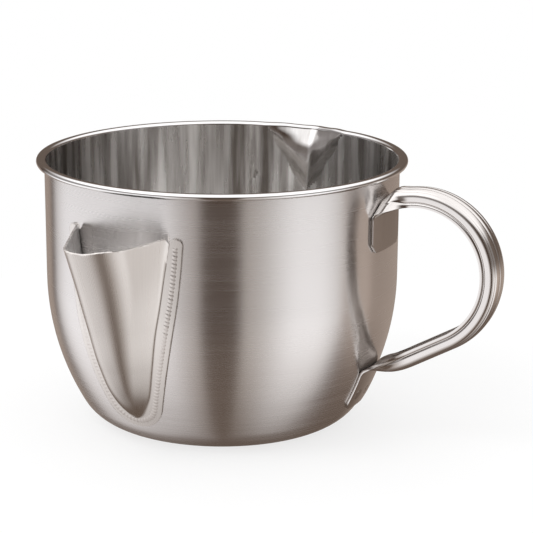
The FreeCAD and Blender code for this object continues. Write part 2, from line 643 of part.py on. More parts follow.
def strap_section(half, bend, flute):
    """Half section of the strap as points and outward directions, from its middle to its edge.

    The sheet keeps its developed half width; bend turns its side from flat (0) to upright (1).
    """
    corner = size("grip_corner")
    flat, marks = size("grip_half") - corner, section_marks(half)
    across, drop, angle, points = 0.0, 0.0, 0.0, []
    for before, along in zip([0.0, *marks], marks):
        last = angle
        turned = min(max((along - flat) / (corner * math.pi / 2), 0.0), 1.0)
        angle = bend * turned * math.pi / 2
        across += math.cos((angle + last) / 2) * (along - before)
        drop += math.sin((angle + last) / 2) * (along - before)
        depth = groove(along - size("flute_place"), "flute")
        depth += groove(half - along - size("hem_place"), "hem")
        normal = (math.sin(angle), math.cos(angle))
        points.append((across - flute * depth * normal[0], -drop - flute * depth * normal[1],
                       normal))
    return points


def channel_half():
    """Developed half width of the grip's channel."""
    return size("grip_half") - size("grip_corner") * (2 - math.pi / 2) + size("grip_depth")


def spread_half(across, bend):
    """Developed half width of the strap where it is half across wide and its sides are bent."""
    flat, bent = size("grip_half") - size("grip_corner"), size("grip_corner") * math.pi / 2
    lean = bend * math.pi / 2
    return flat + bent + (across - flat - bent / lean * math.sin(lean)) / math.cos(lean)


def strap_wire(station):
    """Closed section of the strap at one station of the grip: outer face, edge, inner face, edge."""
    place, heading, half, bend, flute = station
    thick = size("strap")
    side = strap_section(half, bend, flute)
    lowest = min(min(down, down - thick * normal[1]) for _, down, normal in side)
    up = Vector(-math.sin(heading), 0, math.cos(heading))

    def point(across, down):
        return place + up * (down - lowest) + Vector(0, across, 0)

    outer = [point(x, y) for x, y, _ in side]
    inner = [point(x - thick * n[0], y - thick * n[1]) for x, y, n in side]
    mirror = [Vector(p.x, -p.y, p.z) for p in reversed(outer[1:])]
    mirror_inner = [Vector(p.x, -p.y, p.z) for p in reversed(inner[1:])]
    marks = section_marks(channel_half())
    edges, places = [], [-mark for mark in reversed(marks[1:])] + marks
    for points in (mirror + outer, mirror_inner + inner):
        curve = Part.BSplineCurve()
        curve.interpolate(Points=points, Parameters=places)
        edges.append(curve.toShape())
    ends = [Part.makeLine(outer[-1], inner[-1]), Part.makeLine(mirror_inner[0], mirror[0])]
    return Part.Wire(Part.__sortEdges__([edges[0], ends[0], edges[1], ends[1]]))


def grip_stations():
    """Stations along the grip: arched at the upper tab, then a fluted channel, flat at the lower."""
    place, runs = grip_line()
    total, root = sum(runs), size("grip_root")
    channel, arched = channel_half(), size("upper_bend")
    upper_half = spread_half(size("upper_tab_half"), arched)
    upper, lower = size("upper_spread"), size("lower_spread")
    settled = upper + UPPER_SETTLE
    stride = (total - runs[3] - settled) / BEND_STATIONS
    lengths = [-root, *(upper * share for share in (0.0, 0.3, 0.6, 1.0))]
    lengths += [settled + stride * step for step in range(BEND_STATIONS + 1)]
    lengths += [total - lower * share for share in (1.0, 0.75, 0.5, 0.25, 0.0)]
    lengths.append(total + root)
    stations = []
    for length in lengths:
        upper_share = smooth(length / upper)
        lower_share = smooth((total - length) / lower)
        half = channel + (upper_half - channel) * (1 - upper_share)
        half += (size("lower_tab_half") - channel) * (1 - lower_share)
        bend = (arched + (1 - arched) * upper_share) * lower_share
        stations.append((*place(length), half, bend, upper_share * lower_share))
    return stations


def tab_outline(sketch, tab, first, top):
    """One tab seen from the front: a plate with two cut corners at its foot, under a given top.

    The top is the points of the upper edge from right to left. The pieces of the outline are
    numbered from first, down the left side and round.
    """
    half, foot, cut = size(tab + "_half"), size(tab + "_foot"), size("tab_chamfer")
    corners = [top[-1], (-half, foot + cut), (cut - half, foot), (half - cut, foot),
               (half, foot + cut), *top[:-1]]
    count = len(corners)
    sketch.addGeometry([line(corners[k], corners[(k + 1) % count]) for k in range(count)])
    chain(sketch, "Coincident", count, first=first)
    constrain(sketch, [
        ("Vertical", (first,)), ("Symmetric", (first, 1, first + 4, 2, -2)),
        ("Symmetric", (first, 2, first + 4, 1, -2)),
    ])
    bind(sketch, tab + "_half", "DistanceX", (-1, 1, first + 4, 1), half, f"Sizes.{tab}_half")
    bind(sketch, tab + "_top", "DistanceY", (-1, 1, first, 1), top[0][1], f"Sizes.{tab}_top")
    bind(sketch, tab + "_foot", "DistanceY", (-1, 1, first + 2, 1), foot, f"Sizes.{tab}_foot")
    for side, edge, low, high in (("left", first + 1, 2, 1), ("right", first + 3, 1, 2)):
        bind(sketch, f"{tab}_{side}_across", "DistanceX", (edge, 1, edge, 2), cut,
             "Sizes.tab_chamfer")
        bind(sketch, f"{tab}_{side}_rise", "DistanceY", (edge, low, edge, high), cut,
             "Sizes.tab_chamfer")
    return count


def tab_outlines(body):
    """Both tabs seen from the front: the upper one ends in an arched fold, the lower in a level one."""
    sketch = new_sketch(body, "tab_outlines", "YZ_Plane")
    half, top = size("upper_tab_half"), size("upper_tab_top")
    roof, crest = size("upper_tab_roof"), size("upper_tab_crest")
    level = tab_outline(sketch, "upper_tab", 0, [(half, top), (roof, crest), (-roof, crest),
                                                 (-half, top)])
    constrain(sketch, [("Symmetric", (level - 2, 1, level - 2, 2, -2))])
    bind(sketch, "roof", "DistanceX", (-1, 1, level - 2, 1), roof, "Sizes.upper_tab_roof")
    bind(sketch, "crest", "DistanceY", (-1, 1, level - 2, 1), crest, "Sizes.upper_tab_crest")
    half, top = size("lower_tab_half"), size("lower_tab_top")
    tab_outline(sketch, "lower_tab", level, [(half, top), (-half, top)])
    return sketch


def make_tabs():
    """The two tabs of the strap, bent to the wall they are welded to."""
    body = new_body("handle_tabs")
    body.AllowCompound = True
    sector(body, "tab_form", -size("strap"), "(-Sizes.strap)")
    pocket(body, "tab_blanking", add_border(tab_outlines(body)))
    revolve(body, "tab_seat", bowl_outline(body, "tab_seat_outline"), "Groove")
    return body


def combine(kind, name, base, tool):
    """A Part boolean of two objects: Cut, Fuse or Common."""
    feature = doc.addObject("Part::" + kind, name)
    feature.Base = base
    feature.Tool = tool
    return feature


def wall_place(outline, across, height):
    """Place on the bowl's outer face at a height, with the Z axis pointing out of the wall."""
    belly = outline.Geometry[2]
    knee = outline.getPoint(3, 1)
    if height >= knee.y:
        reach, dip = size("wall_radius"), 0.0
    else:
        dip = math.asin((belly.Center.y - height) / belly.Radius)
        reach = belly.Center.x + belly.Radius * math.cos(dip)
    x = math.sqrt(reach * reach - across * across)
    turn = math.atan2(across, x)
    outward = Vector(math.cos(dip) * math.cos(turn), math.cos(dip) * math.sin(turn), -math.sin(dip))
    return Placement(Vector(x, across, height), Rotation(Vector(0, 0, 1), outward))


def nugget_pair(name, outline, height, side):
    """Two spot welds side by side, as cylinders through the tab."""
    thick = size("strap")
    plugs = []
    for number, across in enumerate((-side, side)):
        plug = doc.addObject("Part::Cylinder", f"{name}_{number}")
        plug.Radius = size("nugget") / 2
        plug.setExpression("Radius", "Sizes.nugget / 2")
        plug.Height = 4 * thick
        plug.setExpression("Height", "4 * Sizes.strap")
        place = wall_place(outline, across, height)
        plug.Placement = place.multiply(Placement(Vector(0, 0, -2 * thick), Rotation()))
        plugs.append(plug)
    return combine("Fuse", name, *plugs)


def make_handle():
    """The strap handle and the spot welds that hold its two tabs."""
    form = new_body("bowl_form")
    outline = bowl_outline(form, "form_outline")
    revolve(form, "form_solid", outline)
    grip = doc.addObject("Part::Feature", "grip_loft")
    stations = grip_stations()
    grip.Shape = Part.makeLoft([strap_wire(station) for station in stations], True, False)
    tabs = make_tabs()
    doc.recompute()
    grip_seated = combine("Cut", "grip_seated", grip, form)
    strap = combine("Fuse", "handle_strap", grip_seated, tabs)
    pairs = [nugget_pair(f"{tab}_nuggets", outline, size(f"{tab}_nugget_height"),
                         size(f"{tab}_nugget_side")) for tab in ("upper", "lower")]
    welds = [combine("Common", f"handle_{tab}_spot_welds", strap, pair)
             for tab, pair in zip(("upper", "lower"), pairs)]
    plugs = combine("Fuse", "nugget_plugs", *pairs)
    return combine("Cut", "handle", strap, plugs), welds


# ---------------------------------------------------------------- build, check and write

def make_parts():
    """Build every piece and return them by node name."""
    bowl = make_bowl()
    blank, weld_form = make_spout_blank(), make_weld_tool()
    weld = combine("Common", "side_spout_seam_weld", blank, weld_form)
    spout = combine("Cut", "side_spout", blank, weld_form)
    handle, spot_welds = make_handle()
    doc.recompute()
    return {part.Label: part for part in [bowl, spout, weld, handle, *spot_welds]}


def check_document(parts):
    """Stop if any object failed to build or any piece is empty or not valid."""
    faults = [f"{item.Name}: {item.getStatusString()}" for item in doc.Objects
              if "Invalid" in item.State or "Error" in item.State]
    faults += [f"{item.Name}: sketch not fully constrained" for item in doc.Objects
               if item.TypeId == "Sketcher::SketchObject" and not item.FullyConstrained]
    for name, part in parts.items():
        if part.Shape.isNull() or not part.Shape.isValid() or not part.Shape.Solids:
            faults.append(f"{name}: no valid solid")
    if faults:
        raise RuntimeError("\n".join(faults))


def write_parts(parts):
    os.makedirs("parts", exist_ok=True)
    for name, part in parts.items():
        part.Shape.exportStep(f"parts/{name}.step")
        box = part.Shape.BoundBox
        print(f"{name}: {len(part.Shape.Solids)} solids, {len(part.Shape.Faces)} faces, "
              f"{part.Shape.Volume:.1f} mm3, X {box.XMin:.2f} {box.XMax:.2f}, "
              f"Y {box.YMin:.2f} {box.YMax:.2f}, Z {box.ZMin:.2f} {box.ZMax:.2f}")


parts = make_parts()
check_document(parts)
write_parts(parts)
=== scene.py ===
"""Looks of a stainless pouring pot: rolled rim, pressed lip, welded side spout and strap handle.

Lengths are in millimetres while a mesh is built, and the finished mesh is scaled to metres. The
bowl's axis is Z, the handle is at +X and each pressed spout has its own azimuth.
"""
import logging
import math
import random
from dataclasses import dataclass, field
from enum import Enum
from typing import Callable

import bmesh
import bpy
from mathutils import Matrix, Vector


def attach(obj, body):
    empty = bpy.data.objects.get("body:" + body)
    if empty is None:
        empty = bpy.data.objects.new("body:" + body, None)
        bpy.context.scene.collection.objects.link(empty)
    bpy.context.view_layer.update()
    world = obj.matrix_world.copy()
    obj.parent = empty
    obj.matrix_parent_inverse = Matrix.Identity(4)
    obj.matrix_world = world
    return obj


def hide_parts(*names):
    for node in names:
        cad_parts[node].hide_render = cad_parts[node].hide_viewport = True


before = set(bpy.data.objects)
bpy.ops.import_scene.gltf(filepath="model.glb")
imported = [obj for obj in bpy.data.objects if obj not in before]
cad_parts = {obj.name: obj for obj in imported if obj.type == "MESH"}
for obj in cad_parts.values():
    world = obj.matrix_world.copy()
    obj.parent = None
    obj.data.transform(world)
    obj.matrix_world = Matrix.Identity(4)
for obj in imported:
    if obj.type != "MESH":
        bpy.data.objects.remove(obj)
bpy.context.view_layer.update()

MM = 0.001
GRAIN = "grain"
Colour = tuple[float, float, float]
WHITE = (1.0, 1.0, 1.0, 1.0)
log = logging.getLogger("pouring_pot")


def ease(share: float) -> float:
    """Ease from 0 to 1 with no corner at either end."""
    share = min(max(share, 0.0), 1.0)
    return share * share * (3.0 - 2.0 * share)


def hump(offset: float) -> float:
    """Smooth hump that is 1 in the middle and 0 from an offset of 1 outwards."""
    return (1.0 - offset * offset) ** 2 if abs(offset) < 1.0 else 0.0


def wrapped(angle: float) -> float:
    """Bring an angle to within half a turn of nought."""
    return (angle + math.pi) % (2 * math.pi) - math.pi


def blend_over(first: float, second: float, width: float) -> float:
    """Take the larger of two surfaces and round the corner between them.

    Args:
        first: Place of the first surface.
        second: Place of the second surface.
        width: Width over which the corner is rounded.

    Returns:
        Place of the joined surface.
    """
    share = min(max(0.5 + 0.5 * (first - second) / width, 0.0), 1.0)
    return second + (first - second) * share + width * share * (1.0 - share)


# ---------------------------------------------------------------- forms that the pieces share

@dataclass(frozen=True)
class WallForm:
    """Half outline of the bowl's outside: flat base, heel arc, belly arc and a nearly straight wall.

    Attributes:
        sheet: Thickness of the sheet.
        wall_radius: Radius of the wall at its top.
        wall_top: Height at which the wall runs into the rolled rim.
        draft: How far the wall leans outwards.
        belly: Radius of the belly's arc.
        heel: Radius of the heel's arc.
        base: Radius of the flat base.
    """

    sheet: float = 0.7
    wall_radius: float = 66.95
    wall_top: float = 100.8
    draft: float = math.radians(0.26)
    belly: float = 96.2
    heel: float = 18.2
    base: float = 38.0

    @property
    def turn(self) -> float:
        """Work out where the heel runs into the belly.

        Returns:
            Angle below the horizontal at which the two arcs meet.
        """
        offset = self.base + self.belly * math.cos(self.draft) - self.wall_radius
        rise = self.wall_top - self.heel + self.belly * math.sin(self.draft)
        offset += rise * math.tan(self.draft)
        return self.draft + math.acos(math.cos(self.draft) * offset / (self.belly - self.heel))

    @property
    def belly_centre(self) -> tuple[float, float]:
        """Work out the centre of the belly's arc.

        Returns:
            The centre as radius and height.
        """
        between = self.belly - self.heel
        return (self.base - between * math.cos(self.turn),
                self.heel + between * math.sin(self.turn))

    def radius(self, height: float, inset: float = 0.0) -> float:
        """Find the bowl's radius at a height.

        Args:
            height: Height above the table.
            inset: How far the surface lies inside the outer face.

        Returns:
            Distance of the surface from the axis.
        """
        across, level = self.belly_centre
        if height > level - (self.belly - inset) * math.sin(self.draft):
            return self.wall_radius - inset - (self.wall_top - height) * math.tan(self.draft)
        if height > self.heel - (self.heel - inset) * math.sin(self.turn):
            return across + math.sqrt((self.belly - inset) ** 2 - (level - height) ** 2)
        drop = min(self.heel - height, self.heel - inset)
        return self.base + math.sqrt((self.heel - inset) ** 2 - drop ** 2)

    def lean(self, height: float) -> float:
        """Angle by which the outer face looks down at a height of the belly or the wall."""
        return math.asin(max((self.belly_centre[1] - height) / self.belly, 0.0))

    def outline(self, inset: float, heel_steps: int, belly_steps: int,
                wall_steps: int) -> list[tuple[float, float]]:
        """Walk the half outline from the axis to the top.

        Args:
            inset: How far the surface lies inside the outer face.
            heel_steps: Steps round the heel.
            belly_steps: Steps round the belly.
            wall_steps: Steps up the wall.

        Returns:
            Points as radius and height.
        """
        heel, belly = self.heel - inset, self.belly - inset
        across, level = self.belly_centre
        points = [(0.0, inset), (self.base * 0.5, inset), (self.base, inset)]
        for step in range(1, heel_steps + 1):
            down = math.pi / 2 + (self.turn - math.pi / 2) * step / heel_steps
            points.append((self.base + heel * math.cos(down), self.heel - heel * math.sin(down)))
        for step in range(1, belly_steps + 1):
            down = self.turn + (self.draft - self.turn) * step / belly_steps
            points.append((across + belly * math.cos(down), level - belly * math.sin(down)))
        knee, start = points[-1]
        for step in range(1, wall_steps + 1):
            share = step / wall_steps
            points.append((knee + (self.wall_radius - inset - knee) * share,
                           start + (self.wall_top - start) * share))
        return points


@dataclass(frozen=True)
class PlanSection:
    """Plan section of a pressed spout.

    Attributes:
        height: Height above the table.
        reach: Distance of the nose from the bowl's axis.
        nose: Radius of the rounded nose.
        slope: Angle between the spout's middle plane and a side's outward normal, in degrees.
    """

    height: float
    reach: float
    nose: float
    slope: float


@dataclass(frozen=True)
class PressedForm:
    """A spout pressed out of the wall.

    Attributes:
        azimuth: Azimuth of its middle plane on the bowl.
        sections: Its plan sections, from the lowest to the highest.
    """

    azimuth: float
    sections: tuple[PlanSection, ...]

    def at(self, height: float) -> PlanSection:
        """Read the section at any height from a smooth curve through the given ones.

        Args:
            height: Height above the table.

        Returns:
            The section there.
        """
        marks = [section.height for section in self.sections]
        last = len(marks) - 2
        low = min(max(sum(mark <= height for mark in marks) - 1, 0), last)
        span = marks[low + 1] - marks[low]
        share = (height - marks[low]) / span
        values = []
        for part in ("reach", "nose", "slope"):
            line = [getattr(section, part) for section in self.sections]
            steps = [(line[k + 1] - line[k]) / (marks[k + 1] - marks[k]) for k in range(last + 1)]
            start = steps[0] if low == 0 else (steps[low - 1] + steps[low]) / 2
            end = steps[-1] if low == last else (steps[low] + steps[low + 1]) / 2
            if share < 0.0:
                values.append(line[0] + start * share * span)
                continue
            square, cube = share * share, share ** 3
            values.append(line[low] * (2 * cube - 3 * square + 1)
                          + start * span * (cube - 2 * square + share)
                          + line[low + 1] * (3 * square - 2 * cube)
                          + end * span * (cube - square))
        return PlanSection(height, *values)

    def radius(self, turn: float, height: float, inset: float) -> float:
        """Find how far from the axis the spout's surface is.

        Args:
            turn: Azimuth away from the spout's middle.
            height: Height above the table.
            inset: How far the surface lies inside the outer face.

        Returns:
            Distance from the axis along that azimuth.
        """
        section = self.at(height)
        nose, centre = section.nose - inset, section.reach - section.nose
        lean, turn = math.radians(section.slope), abs(turn)
        touch = math.atan2(nose * math.sin(lean), centre + nose * math.cos(lean))
        if turn < touch:
            return centre * math.cos(turn) + math.sqrt(nose ** 2 - (centre * math.sin(turn)) ** 2)
        return (centre * math.cos(lean) + nose) / math.cos(turn - lean)

    def reach(self, across: float, height: float) -> float:
        """Find how far the outer face stands out at a distance from the spout's middle plane.

        Args:
            across: Distance from the middle plane.
            height: Height above the table.

        Returns:
            Distance from the axis, measured along the middle plane.
        """
        section = self.at(height)
        centre, lean = section.reach - section.nose, math.radians(section.slope)
        if across < section.nose * math.sin(lean):
            return centre + math.sqrt(section.nose ** 2 - across ** 2)
        return centre + (section.nose - across * math.sin(lean)) / math.cos(lean)


WALL = WallForm()
LIP = PressedForm(math.radians(85.0), (
    PlanSection(75.5, 66.8, 2.0, 14.0),
    PlanSection(79.0, 67.4, 3.0, 11.3),
    PlanSection(88.0, 68.7, 4.0, 15.6),
    PlanSection(94.5, 70.0, 4.5, 18.8),
    PlanSection(98.5, 71.9, 5.0, 25.3),
    PlanSection(100.8, 73.25, 5.0, 28.0),
))
POCKET = PressedForm(math.radians(262.7), (
    PlanSection(13.2, 56.3, 1.6, 28.9),
    PlanSection(16.0, 60.6, 3.4, 47.1),
    PlanSection(24.0, 68.3, 6.6, 55.3),
    PlanSection(36.0, 75.0, 9.6, 60.0),
    PlanSection(52.0, 81.2, 12.2, 65.5),
    PlanSection(70.0, 88.1, 14.4, 72.3),
    PlanSection(88.0, 95.6, 15.6, 74.0),
))
POCKET_FAR = PressedForm(POCKET.azimuth, (
    PlanSection(13.2, 56.3, 1.6, 28.9),
    PlanSection(16.0, 60.6, 3.0, 44.0),
    PlanSection(24.0, 68.3, 5.2, 50.3),
    PlanSection(36.0, 75.0, 6.8, 52.1),
    PlanSection(52.0, 81.2, 7.8, 55.1),
    PlanSection(70.0, 88.1, 8.4, 60.6),
    PlanSection(88.0, 95.6, 8.8, 64.1),
))


def rim_dip(turn: float) -> float:
    """Find how far the rim falls near the pouring lip.

    Args:
        turn: Azimuth away from the lip's middle.

    Returns:
        Distance by which the rim is lower there.
    """
    shoulder_fall, shoulder_turn = 0.4, math.radians(24.0)
    tip_fall, tip_turn = 0.9, math.radians(11.0)
    return shoulder_fall * hump(turn / shoulder_turn) + tip_fall * hump(turn / tip_turn)


# ---------------------------------------------------------------- finishes

class Nodes:
    """A node tree that is filled from left to right."""

    def __init__(self, tree: bpy.types.NodeTree) -> None:
        """Start with an empty tree."""
        self.tree = tree
        tree.nodes.clear()

    def add(self, kind: str, links: dict[str | int, object] | None = None,
            **settings: object) -> bpy.types.Node:
        """Add a node and fill its sockets.

        Args:
            kind: Type of the node.
            links: Sockets to link or values to set, by the socket's name or number.
            **settings: The node's own settings.

        Returns:
            The new node.
        """
        node = self.tree.nodes.new(kind)
        for name, value in settings.items():
            setattr(node, name, value)
        for socket, value in (links or {}).items():
            if isinstance(value, bpy.types.NodeSocket):
                self.tree.links.new(value, node.inputs[socket])
            else:
                node.inputs[socket].default_value = value
        return node

    def calc(self, kind: str, *values: object) -> bpy.types.NodeSocket:
        """Output of a Math node for the given operation and values."""
        return self.add("ShaderNodeMath", dict(enumerate(values)), operation=kind).outputs[0]

    def noise(self, vector: bpy.types.NodeSocket, stretch: tuple[float, float, float],
              detail: float, seed: tuple[float, float, float] = (0.0, 0.0, 0.0)
              ) -> bpy.types.NodeSocket:
        """Noise drawn out along one direction.

        Args:
            vector: Coordinates to read.
            stretch: Scale of the noise along each coordinate.
            detail: Octaves of finer noise.
            seed: Shift of the pattern.

        Returns:
            The noise, from 0 to 1.
        """
        mapped = self.add("ShaderNodeMapping", {
            "Vector": vector, "Scale": stretch, "Location": seed,
        }).outputs[0]
        return self.add("ShaderNodeTexNoise", {
            "Vector": mapped, "Scale": 1.0, "Detail": detail,
        }).outputs[0]

    def spread(self, value: bpy.types.NodeSocket, low: float, high: float,
               start: float = 0.0, end: float = 1.0) -> bpy.types.NodeSocket:
        """Map a value from one range to another.

        Args:
            value: The value to read.
            low: Result at the start of the range.
            high: Result at the end of the range.
            start: Start of the range that is read.
            end: End of the range that is read.

        Returns:
            The mapped value.
        """
        return self.add("ShaderNodeMapRange", {
            "Value": value, "From Min": start, "From Max": end, "To Min": low, "To Max": high,
        }).outputs["Result"]

    def bump(self, height: bpy.types.NodeSocket, depth: float,
             normal: bpy.types.NodeSocket) -> bpy.types.NodeSocket:
        """Lean a normal by a height map.

        Args:
            height: The height map, from 0 to 1.
            depth: Depth of the relief, in metres.
            normal: The normal that it starts from.

        Returns:
            The new normal.
        """
        return self.add("ShaderNodeBump", {
            "Height": height, "Strength": 1.0, "Distance": depth, "Normal": normal,
        }).outputs[0]


@dataclass(frozen=True)
class SteelFinish:
    """Stainless steel with a grain that runs along its map's first direction; on the polished inside
    its two colours paint reflection streaks instead.

    Attributes:
        name: Name of the material.
        colour: Colour of the metal.
        shade: Colour between the grain's lines; on the polished inside, the dark of its painted
            reflection streaks.
        roughness: Mean roughness.
        anisotropy: How much the reflections are drawn out across the grain.
        lines: Grain lines in a millimetre.
        line_length: Length of a grain line.
        relief: Depth of the grain, in metres.
        wave: Depth of the slow unevenness of the polished sheet, in metres.
        wave_pitch: Length of that unevenness along and across the grain.
        contrast: How far the grain's noise must stray from its mean to reach either colour.
    """

    name: str
    colour: Colour = (0.74, 0.71, 0.69)
    shade: Colour = (0.64, 0.60, 0.58)
    roughness: float = 0.3
    anisotropy: float = 0.8
    lines: float = 2.2
    line_length: float = 40.0
    relief: float = 2e-6
    wave: float = 0.0
    wave_pitch: tuple[float, float] = (12.0, 90.0)
    contrast: float = 0.25

    def make(self) -> bpy.types.Material:
        """Build the node material.

        Returns:
            The new material.
        """
        material = bpy.data.materials.new(self.name)
        material.use_nodes = True
        nodes = Nodes(material.node_tree)
        grain = nodes.add("ShaderNodeUVMap", uv_map=GRAIN).outputs[0]
        fine_octaves, broad_octaves, fine_share, broad_share = 3.0, 2.0, 0.6, 0.4
        fine = nodes.noise(grain, (1.0 / self.line_length, self.lines, 1.0), fine_octaves)
        broad_along, broad_across = 0.4 / self.line_length, self.lines * 0.12
        broad = nodes.noise(grain, (broad_along, broad_across, 1.0), broad_octaves,
                            seed=(3.1, 7.7, 0.0))
        streak = nodes.calc("ADD", nodes.calc("MULTIPLY", fine, fine_share),
                            nodes.calc("MULTIPLY", broad, broad_share))
        mean = 0.5
        share = nodes.spread(streak, 0.0, 1.0, mean - self.contrast, mean + self.contrast)
        tone = nodes.add("ShaderNodeMix", {
            0: share, 6: (*self.shade, 1.0), 7: (*self.colour, 1.0),
        }, data_type="RGBA").outputs[2]
        cloud_scale, cloud_swing, streak_swing = 22.0, 0.08, 0.04
        spots = nodes.add("ShaderNodeTexCoord").outputs["Object"]
        cloud = nodes.noise(spots, (cloud_scale, cloud_scale, cloud_scale), broad_octaves)
        low, high = self.roughness * (1.0 - cloud_swing), self.roughness * (1.0 + cloud_swing)
        rough = nodes.calc("ADD", nodes.spread(streak, -streak_swing, streak_swing, 0.25, 0.75),
                           nodes.spread(cloud, low, high))
        normal = nodes.add("ShaderNodeNewGeometry").outputs["Normal"]
        if self.relief:
            normal = nodes.bump(fine, self.relief, normal)
        if self.wave:
            slow_along, slow_across = 1.0 / self.wave_pitch[0], 1.0 / self.wave_pitch[1]
            slow = nodes.noise(grain, (slow_along, slow_across, 1.0), broad_octaves,
                               seed=(11.0, 5.0, 0.0))
            normal = nodes.bump(slow, self.wave, normal)
        tangent = nodes.add("ShaderNodeTangent", direction_type="UV_MAP", uv_map=GRAIN).outputs[0]
        shader = nodes.add("ShaderNodeBsdfPrincipled", {
            "Base Color": tone, "Metallic": 1.0, "Roughness": rough, "Normal": normal,
            "Tangent": tangent, "Anisotropic": self.anisotropy, "Anisotropic Rotation": 0.25,
        })
        nodes.add("ShaderNodeOutputMaterial", {"Surface": shader.outputs[0]})
        return material


SATIN = SteelFinish("satin_wall", colour=(0.83, 0.81, 0.80), shade=(0.74, 0.72, 0.71),
                    roughness=0.26, anisotropy=0.85, relief=6e-7)
# The polished inside's strong dark and light vertical streaks are painted reflections, not grain.
MIRROR = SteelFinish("polished_inside_painted_streaks", colour=(0.99, 0.98, 0.965), shade=(0.24, 0.215, 0.195),
                     roughness=0.27, anisotropy=0.97, lines=0.01, line_length=6.0, relief=0.0,
                     wave=5e-4, wave_pitch=(24.0, 4000.0), contrast=0.09)
PRESSED = SteelFinish("polished_lip", colour=(0.88, 0.87, 0.86), shade=(0.66, 0.64, 0.62),
                      roughness=0.12, anisotropy=0.0, lines=0.05, line_length=3.0, relief=0.0,
                      contrast=0.12)
BEAD = SteelFinish("polished_rim", colour=(0.88, 0.875, 0.87), shade=(0.82, 0.815, 0.81),
                   roughness=0.08, anisotropy=0.0, relief=0.0)
SPOUT = SteelFinish("satin_spout", colour=(0.79, 0.76, 0.73), shade=(0.72, 0.69, 0.66),
                    roughness=0.28, anisotropy=0.3, lines=2.6, line_length=30.0, relief=1e-6)
# The spout's inside is a lighter copy of the spout's steel: painted light, which the wall behind the
# mouth reflects.
SPOUT_INSIDE = SteelFinish("painted_light_spout_inside", colour=(0.97, 0.965, 0.96), shade=(0.93, 0.92, 0.91),
                           roughness=0.28, anisotropy=0.3, line_length=30.0, relief=0.0)
GRIP = SteelFinish("polished_grip", colour=(0.79, 0.765, 0.745), shade=(0.69, 0.665, 0.645),
                   roughness=0.15, anisotropy=0.3, lines=3.0, line_length=25.0, relief=4e-7)
# The strap's inside is a darker copy of the grip's steel: painted shade under the strap, which the
# tabs reflect.
GRIP_INSIDE = SteelFinish("painted_shade_grip_inside", colour=(0.50, 0.46, 0.43), shade=(0.40, 0.365, 0.34),
                          roughness=0.35, anisotropy=0.3, line_length=25.0, relief=0.0)
WELD = SteelFinish("weld_ripples", colour=(0.78, 0.75, 0.72), shade=(0.67, 0.63, 0.60),
                   roughness=0.30, anisotropy=0.0, lines=1.2, line_length=1.4, relief=2e-6)
TINT = SteelFinish("heat_tinted_spots", colour=(0.55, 0.51, 0.47), shade=(0.47, 0.43, 0.39),
                   roughness=0.18, anisotropy=0.0, lines=1.0, line_length=4.0, relief=1e-6)


# ---------------------------------------------------------------- mesh helpers

def sheet_grid(name: str, along: int, across: int, size: tuple[float, float],
               place: Callable[[float, float], Vector]) -> bpy.types.Object:
    """Lay a grid over a curved surface.

    Args:
        name: Name of the piece.
        along: Steps along the surface.
        across: Steps across the surface.
        size: Length and width of the surface, for the grain's scale.
        place: Gives the point for a share along and a share across, both from 0 to 1.

    Returns:
        The piece, in millimetres, with its grain map.
    """
    bm = bmesh.new()
    grain = bm.loops.layers.uv.new(GRAIN)
    bmesh.ops.create_grid(bm, x_segments=along, y_segments=across, size=1.0)
    for face in bm.faces:
        for loop in face.loops:
            spot = loop.vert.co
            loop[grain].uv = ((spot.x + 1.0) / 2 * size[0], (spot.y + 1.0) / 2 * size[1])
    for vert in bm.verts:
        vert.co = place((vert.co.x + 1.0) / 2, (vert.co.y + 1.0) / 2)
    bmesh.ops.remove_doubles(bm, verts=bm.verts, dist=1e-4)
    bmesh.ops.dissolve_degenerate(bm, dist=1e-5, edges=bm.edges)
    return as_object(name, bm)


def as_object(name: str, bm: bmesh.types.BMesh) -> bpy.types.Object:
    """Turn a finished bmesh into an object of the scene.

    Args:
        name: Name of the piece.
        bm: The mesh, which is freed.

    Returns:
        The new object.
    """
    mesh = bpy.data.meshes.new(name)
    bm.to_mesh(mesh)
    bm.free()
    piece = bpy.data.objects.new(name, mesh)
    bpy.context.scene.collection.objects.link(piece)
    return piece


def face_away(piece: bpy.types.Object, outward: Callable[[Vector], Vector]) -> None:
    """Turn an open sheet's faces over if they look the wrong way.

    Args:
        piece: The sheet.
        outward: Gives the outward direction at a point.
    """
    total = sum(face.normal.dot(outward(face.center)) * face.area for face in piece.data.polygons)
    if total < 0:
        piece.data.flip_normals()


def settle(piece: bpy.types.Object) -> None:
    """Replace a piece's mesh by what its modifiers make of it.

    Args:
        piece: The piece, whose modifiers are removed.
    """
    bpy.context.view_layer.update()
    graph = bpy.context.evaluated_depsgraph_get()
    made = bpy.data.meshes.new_from_object(piece.evaluated_get(graph))
    piece.modifiers.clear()
    old, piece.data = piece.data, made
    made.name = piece.name
    bpy.data.meshes.remove(old)


def thicken(piece: bpy.types.Object, sheet: float, edge: float, *finishes: SteelFinish) -> None:
    """Give an open sheet its thickness, away from its faces, and ease its cut edges.

    Args:
        piece: The sheet.
        sheet: Thickness of the metal.
        edge: Width of the eased edges.
        *finishes: Finish of its outer face and, where it is another one, of its inner face.
    """
    for finish in finishes:
        piece.data.materials.append(finish.make())
    wall = piece.modifiers.new("thickness", "SOLIDIFY")
    wall.thickness = sheet
    wall.offset = -1.0
    wall.use_even_offset = True
    wall.material_offset = len(finishes) - 1
    eased = piece.modifiers.new("edges", "BEVEL")
    eased.width = edge
    eased.segments = 2
    eased.limit_method = "ANGLE"
    eased.angle_limit = math.radians(50.0)
    settle(piece)


